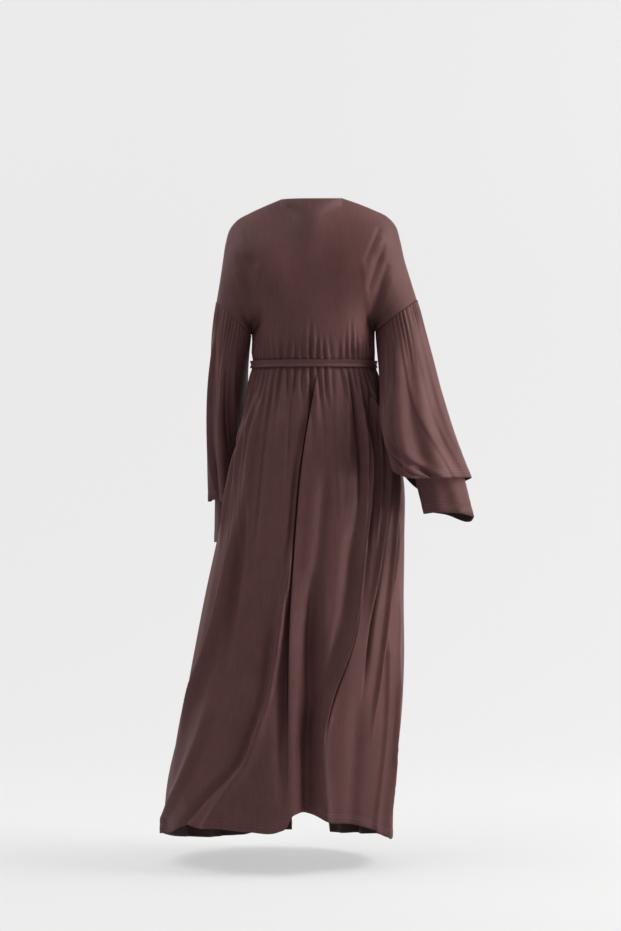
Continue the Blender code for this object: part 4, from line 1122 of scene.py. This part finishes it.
TUBES = {}
for side, word in ((-1, "right"), (1, "left")):
    TUBES["sleeve_" + word] = tube_grid(sleeve, side, *SLEEVE_COUNTS)
    TUBES["under_sleeve_" + word] = tube_grid(under_sleeve, side, *UNDER_SLEEVE_COUNTS)
    for name in ("sleeve_" + word, "under_sleeve_" + word):
        PIECES[name] = cloth_piece(name + "_cloth", TUBES[name], side, closed=True)

# %% [markdown]
# The belt is a strip of the same jersey folded flat. It grips the waist, so it is drawn in at
# its middle, and its ends lap at the front.

# %% Make the belt
BELT_TALL = 0.016
BELT_OUT = 0.0054
BELT_FLARE = 0.0022
BELT_LAP_STEP = 0.0026
BELT_TILT = 0.0004
BELT_CREASE = 0.0006
BELT_START_DEG = 186.0
BELT_TURN_DEG = 378.0
BELT_LAP_DEG = (46.0, 24.0)
BELT_COLUMNS = 381
BELT_ROWS = 15


def belt_row(height, around):
    """Points of the belt at one height, winding out where its ends lap."""
    turned = around - BELT_START_DEG
    rise, top = BELT_LAP_DEG
    lap = BELT_LAP_STEP * ease(turned, BELT_TURN_DEG - rise, BELT_TURN_DEG - top)
    base, out = section_ring(around, np.full(around.shape, WAIST_DROP))
    base[..., 2] += height
    share = abs(height) / (BELT_TALL / 2)
    tilt = BELT_TILT * np.sin(np.radians(9 * around)) * share
    crease = -BELT_CREASE * float(bump(height + 0.001, 0.0012))
    return base + out * (BELT_OUT + BELT_FLARE * share + lap + tilt + crease)[..., None]


BELT_AROUND = BELT_START_DEG + np.linspace(0.0, BELT_TURN_DEG, BELT_COLUMNS)
BELT_HEIGHTS = BELT_TALL * np.linspace(0.5, -0.5, BELT_ROWS)
BELT_GRID = np.array([belt_row(height, BELT_AROUND) for height in BELT_HEIGHTS])
PIECES["belt"] = cloth_piece("belt_cloth", BELT_GRID, -1)

# %% [markdown]
# Hems in jersey are sewn on a coverstitch machine, which leaves two lines of short stitches.
# They repeat along a path, so Geometry Nodes place them: the path is cut to one point for each
# stitch, and a small thread is set on each point along the path.

# %% Thread and stitches
STITCH_LONG = 0.0034
STITCH_PITCH = 0.0046
STITCH_THICK = 0.0007
STITCH_SUNK = 0.15


def stitch_tree(material):
    """Node tree that sets one stitch on each step of a path."""
    tree = bpy.data.node_groups.new("stitches_on_a_path", "GeometryNodeTree")
    face = tree.interface
    face.new_socket("Path", in_out="INPUT", socket_type="NodeSocketGeometry")
    for label, value in (("Pitch", STITCH_PITCH), ("Long", STITCH_LONG), ("Thick", STITCH_THICK)):
        socket = face.new_socket(label, in_out="INPUT", socket_type="NodeSocketFloat")
        socket.default_value = value
    face.new_socket("Stitches", in_out="OUTPUT", socket_type="NodeSocketGeometry")
    start = add_node(tree, "NodeGroupInput")
    cut = add_node(tree, "GeometryNodeResampleCurve", {"mode": "LENGTH"},
                   {"Curve": start.outputs["Path"], "Length": start.outputs["Pitch"]})
    along = add_node(tree, "GeometryNodeInputTangent")
    turn = add_node(tree, "FunctionNodeAlignRotationToVector", {"axis": "Z"},
                    {"Vector": along.outputs["Tangent"]})
    half = add_node(tree, "ShaderNodeMath", {"operation": "MULTIPLY", 1: 0.5},
                    {0: start.outputs["Thick"]})
    thread = add_node(tree, "GeometryNodeMeshCylinder", {"Vertices": 6},
                      {"Radius": half.outputs[0], "Depth": start.outputs["Long"]})
    on_path = add_node(tree, "GeometryNodeInstanceOnPoints",
                       links={"Points": cut.outputs["Curve"], "Instance": thread.outputs["Mesh"],
                              "Rotation": turn.outputs["Rotation"]})
    real = add_node(tree, "GeometryNodeRealizeInstances",
                    links={"Geometry": on_path.outputs["Instances"]})
    dyed = add_node(tree, "GeometryNodeSetMaterial", {"Material": material},
                    {"Geometry": real.outputs["Geometry"]})
    add_node(tree, "NodeGroupOutput", links={"Stitches": dyed.outputs["Geometry"]})
    return tree


def thread_material():
    """Polyester thread dyed to match, a little lighter and glossier than the cloth."""
    material, tree = new_material("polyester_thread_brown")
    place = add_node(tree, "ShaderNodeTexCoord")
    twist = add_node(tree, "ShaderNodeTexNoise", {"Scale": 900.0}, {"Vector": place.outputs["Object"]})
    ramp = add_node(tree, "ShaderNodeValToRGB", links={"Fac": twist.outputs["Fac"]})
    ramp.color_ramp.elements[0].color = linear("#56403c")
    ramp.color_ramp.elements[1].color = linear("#73574f")
    shader = add_node(tree, "ShaderNodeBsdfPrincipled", {"Roughness": 0.5, "IOR": 1.5},
                      {"Base Color": ramp.outputs["Color"]})
    add_node(tree, "ShaderNodeOutputMaterial", links={"Surface": shader.outputs["BSDF"]})
    return material


THREAD = thread_material()
STITCHES = stitch_tree(THREAD)


def stitch_lines(name, paths):
    """Plain mesh of the stitches along several paths."""
    curve = bpy.data.curves.new(name, "CURVE")
    curve.dimensions = "3D"
    for path in paths:
        spline = curve.splines.new("POLY")
        spline.points.add(len(path) - 1)
        with_weight = np.concatenate([path, np.ones((len(path), 1))], axis=1)
        spline.points.foreach_set("co", with_weight.reshape(-1))
    guide = place_in_scene(name + "_guide", curve)
    sewing = guide.modifiers.new("stitches", "NODES")
    sewing.node_group = STITCHES
    plain = evaluated_mesh(guide)
    bpy.data.objects.remove(guide, do_unlink=True)
    plain.name = name
    piece = place_in_scene(name, plain)
    print("%s: %d faces" % (name, len(plain.polygons)))
    return piece


# %% [markdown]
# The two lines run round each hem of the skirt and the sleeves at even heights above the edge.
# The front edges are faced, with no stitches outside, and the rest is sewn into seams.

# %% Sew the hems


def line_on(grid, to_edge):
    """A path on a grid of cloth, a given length up from its last row, and its outward side."""
    legs = np.linalg.norm(np.diff(grid, axis=0), axis=2)
    up = np.concatenate([np.cumsum(legs[::-1], axis=0)[::-1], np.zeros((1, grid.shape[1]))])
    path = np.empty((grid.shape[1], 3))
    for column in range(grid.shape[1]):
        for axis in range(3):
            path[column, axis] = np.interp(to_edge, up[::-1, column], grid[::-1, column, axis])
    return path, unit(np.cross(np.gradient(path, axis=0), grid[-1] - path))


def hem_paths(grid, turn):
    """The two coverstitch lines of a hem."""
    lines = [line_on(grid, HEM_STITCH_UP), line_on(grid, HEM_STITCH_UP - STITCH_LINES_APART)]
    return [path + out * turn * (CLOTH_THICK / 2 + STITCH_THICK * STITCH_SUNK) for path, out in lines]


SEWN = dict(SKIRT_GRIDS)
for name in ("sleeve_right", "sleeve_left", "under_sleeve_right", "under_sleeve_left"):
    SEWN[name] = TUBES[name]
STITCHING = {}
for name, grid in SEWN.items():
    turn = -1 if name in TUBES and name.endswith("left") else 1
    STITCHING[name] = stitch_lines(name + "_stitches", hem_paths(grid, turn))

# %% [markdown]
# Every piece rides on the one body and stands for its solid, which is hidden. The cut of a
# gathered piece is wider than it hangs.

# %% Attach the pieces to the body
Cut = namedtuple("Cut", "wide long share held")
for name, (piece, area) in PIECES.items():
    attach(piece, "root")
    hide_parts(name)
for piece in STITCHING.values():
    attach(piece, "root")

# %% [markdown]
# A pale sweep stands behind the garment and runs forward as the floor, so that there is no
# corner to see. It is one strip, bent through a quarter circle. The paper is lit through from
# behind, which keeps it near white and the shadow on it pale.

# %% Floor and sweep
FLOOR = -1.538
SWEEP_BACK = -3.4
SWEEP_RADIUS = 1.6
SWEEP_WIDE = 14.0
SWEEP_FRONT = 9.0
SWEEP_TOP = 6.0
SWEEP_STEPS = 16
PAPER_GLOW = 0.53


def sweep_profile():
    """Side view of the sweep: floor, curve and wall."""
    points = [(SWEEP_FRONT, FLOOR)]
    for angle in np.radians(np.linspace(0.0, 90.0, SWEEP_STEPS + 1)):
        ahead = SWEEP_BACK + SWEEP_RADIUS * (1 - math.sin(angle))
        points.append((ahead, FLOOR + SWEEP_RADIUS * (1 - math.cos(angle))))
    return points + [(SWEEP_BACK, SWEEP_TOP)]


def make_sweep():
    """The floor and backdrop in one strip."""
    profile = sweep_profile()
    points = [(x, y, z) for y, z in profile for x in (-SWEEP_WIDE / 2, SWEEP_WIDE / 2)]
    faces = [(2 * i, 2 * i + 2, 2 * i + 3, 2 * i + 1) for i in range(len(profile) - 1)]
    mesh = bpy.data.meshes.new("sweep")
    mesh.from_pydata(points, [], faces)
    mesh.shade_smooth()
    sweep = place_in_scene("sweep", mesh)
    # Matt paper has no gloss, so no lamp shows in it as a spot
    material, tree = new_material("matt_paper_pale")
    shader = add_node(
        tree,
        "ShaderNodeBsdfPrincipled",
        {"Base Color": linear("#8f8f8f"), "Roughness": 0.9, "Specular IOR Level": 0.1,
         "Emission Color": linear("#ffffff"), "Emission Strength": PAPER_GLOW},
    )
    # From behind the paper is clear, so that it never stands between a camera and the garment
    side = add_node(tree, "ShaderNodeNewGeometry")
    clear = add_node(tree, "ShaderNodeBsdfTransparent")
    paper = add_node(tree, "ShaderNodeMixShader",
                     links={0: side.outputs["Backfacing"], 1: shader.outputs["BSDF"],
                            2: clear.outputs["BSDF"]})
    add_node(tree, "ShaderNodeOutputMaterial", links={"Surface": paper.outputs["Shader"]})
    mesh.materials.append(material)
    return sweep


SWEEP = make_sweep()
print("sweep: %d faces" % len(SWEEP.data.polygons))

# %% [markdown]
# The light is soft and even, as in a white studio, with the stronger side on the wearer's
# right, where it grazes the back and draws out the folds. Large area lights keep the edges of
# the shadows wide. A small one with a grid on its front reaches the ends of the right sleeve.

# %% Light


def soft_light(name, place, target, size, power, colour, spread_deg=180.0):
    """A square light that faces a target; a small spread is a grid on its front."""
    lamp = bpy.data.lights.new(name, "AREA")
    lamp.shape = "SQUARE"
    lamp.size = size
    lamp.energy = power
    lamp.spread = math.radians(spread_deg)
    lamp.color = linear(colour)[:3]
    light = place_in_scene(name, lamp)
    light.location = place
    aim = np.array(target) - np.array(place)
    flat = math.hypot(aim[0], aim[1])
    light.rotation_euler = (math.atan2(flat, -aim[2]), 0.0, math.atan2(aim[1], aim[0]) - math.pi / 2)


soft_light("key", (-2.8, 0.6, 1.3), (0.0, 0.0, -0.45), 1.6, 98.0, "#fffaf8")
soft_light("side", (-3.1, 0.8, -0.9), (-0.42, 0.04, -0.70), 0.8, 1.7, "#fffafa", 26.0)
soft_light("low side", (-3.1, 1.0, -0.5), (-0.2, 0.1, -0.65), 1.0, 10.0, "#fffafa")
soft_light("fill", (-0.8, 4.4, 2.8), (0.0, 0.0, -0.7), 3.0, 12.0, "#f8f9ff")
soft_light("paper right", (-3.6, -1.2, 2.2), (0.3, -3.4, -0.6), 2.4, 82.0, "#ffffff")
soft_light("paper left", (3.6, -1.2, 2.2), (-0.3, -3.4, -0.6), 2.4, 57.0, "#ffffff")
soft_light("floor", (2.4, 1.4, 3.2), (1.9, 0.5, -1.5), 3.4, 112.0, "#ffffff")
WORLD = bpy.data.worlds.new("studio")
bpy.context.scene.world = WORLD
WORLD.use_nodes = True
# The room gives little light, but a camera that looks past the paper sees pale walls
ROOM_LIGHT = 0.16
ROOM_SEEN = 0.72
ROOM_TREE = WORLD.node_tree
ROOM_TREE.nodes["Background"].inputs["Color"].default_value = linear("#f2f2f2")
LOOKED_AT = add_node(ROOM_TREE, "ShaderNodeLightPath")
ROOM = add_node(ROOM_TREE, "ShaderNodeMapRange", {"To Min": ROOM_LIGHT, "To Max": ROOM_SEEN},
                {"Value": LOOKED_AT.outputs["Is Camera Ray"]})
ROOM_TREE.links.new(ROOM.outputs["Result"], ROOM_TREE.nodes["Background"].inputs["Strength"])
print("lights:", len(bpy.data.lights))

# %% [markdown]
# The camera stands six metres behind the garment, level, at about the height of the hips, with
# a long lens. That is how far away such a whole figure is taken.

# %% Camera
CAMERA_AWAY = 6.0
CAMERA_HEIGHT = -0.618
LENS_MM = 100.0
SENSOR_MM = 36.0
CAMERA_DATA = bpy.data.cameras.new("camera")
CAMERA_DATA.lens = LENS_MM
CAMERA_DATA.sensor_width = SENSOR_MM
CAMERA_DATA.sensor_fit = "AUTO"
CAMERA = place_in_scene("camera", CAMERA_DATA)
CAMERA.location = (0.0, CAMERA_AWAY, CAMERA_HEIGHT)
CAMERA.rotation_euler = (math.radians(90.0), 0.0, math.radians(180.0))
bpy.context.scene.camera = CAMERA
bpy.context.scene.view_settings.view_transform = "Standard"
print("camera: %.0f mm lens, %.1f m away" % (LENS_MM, CAMERA_AWAY))
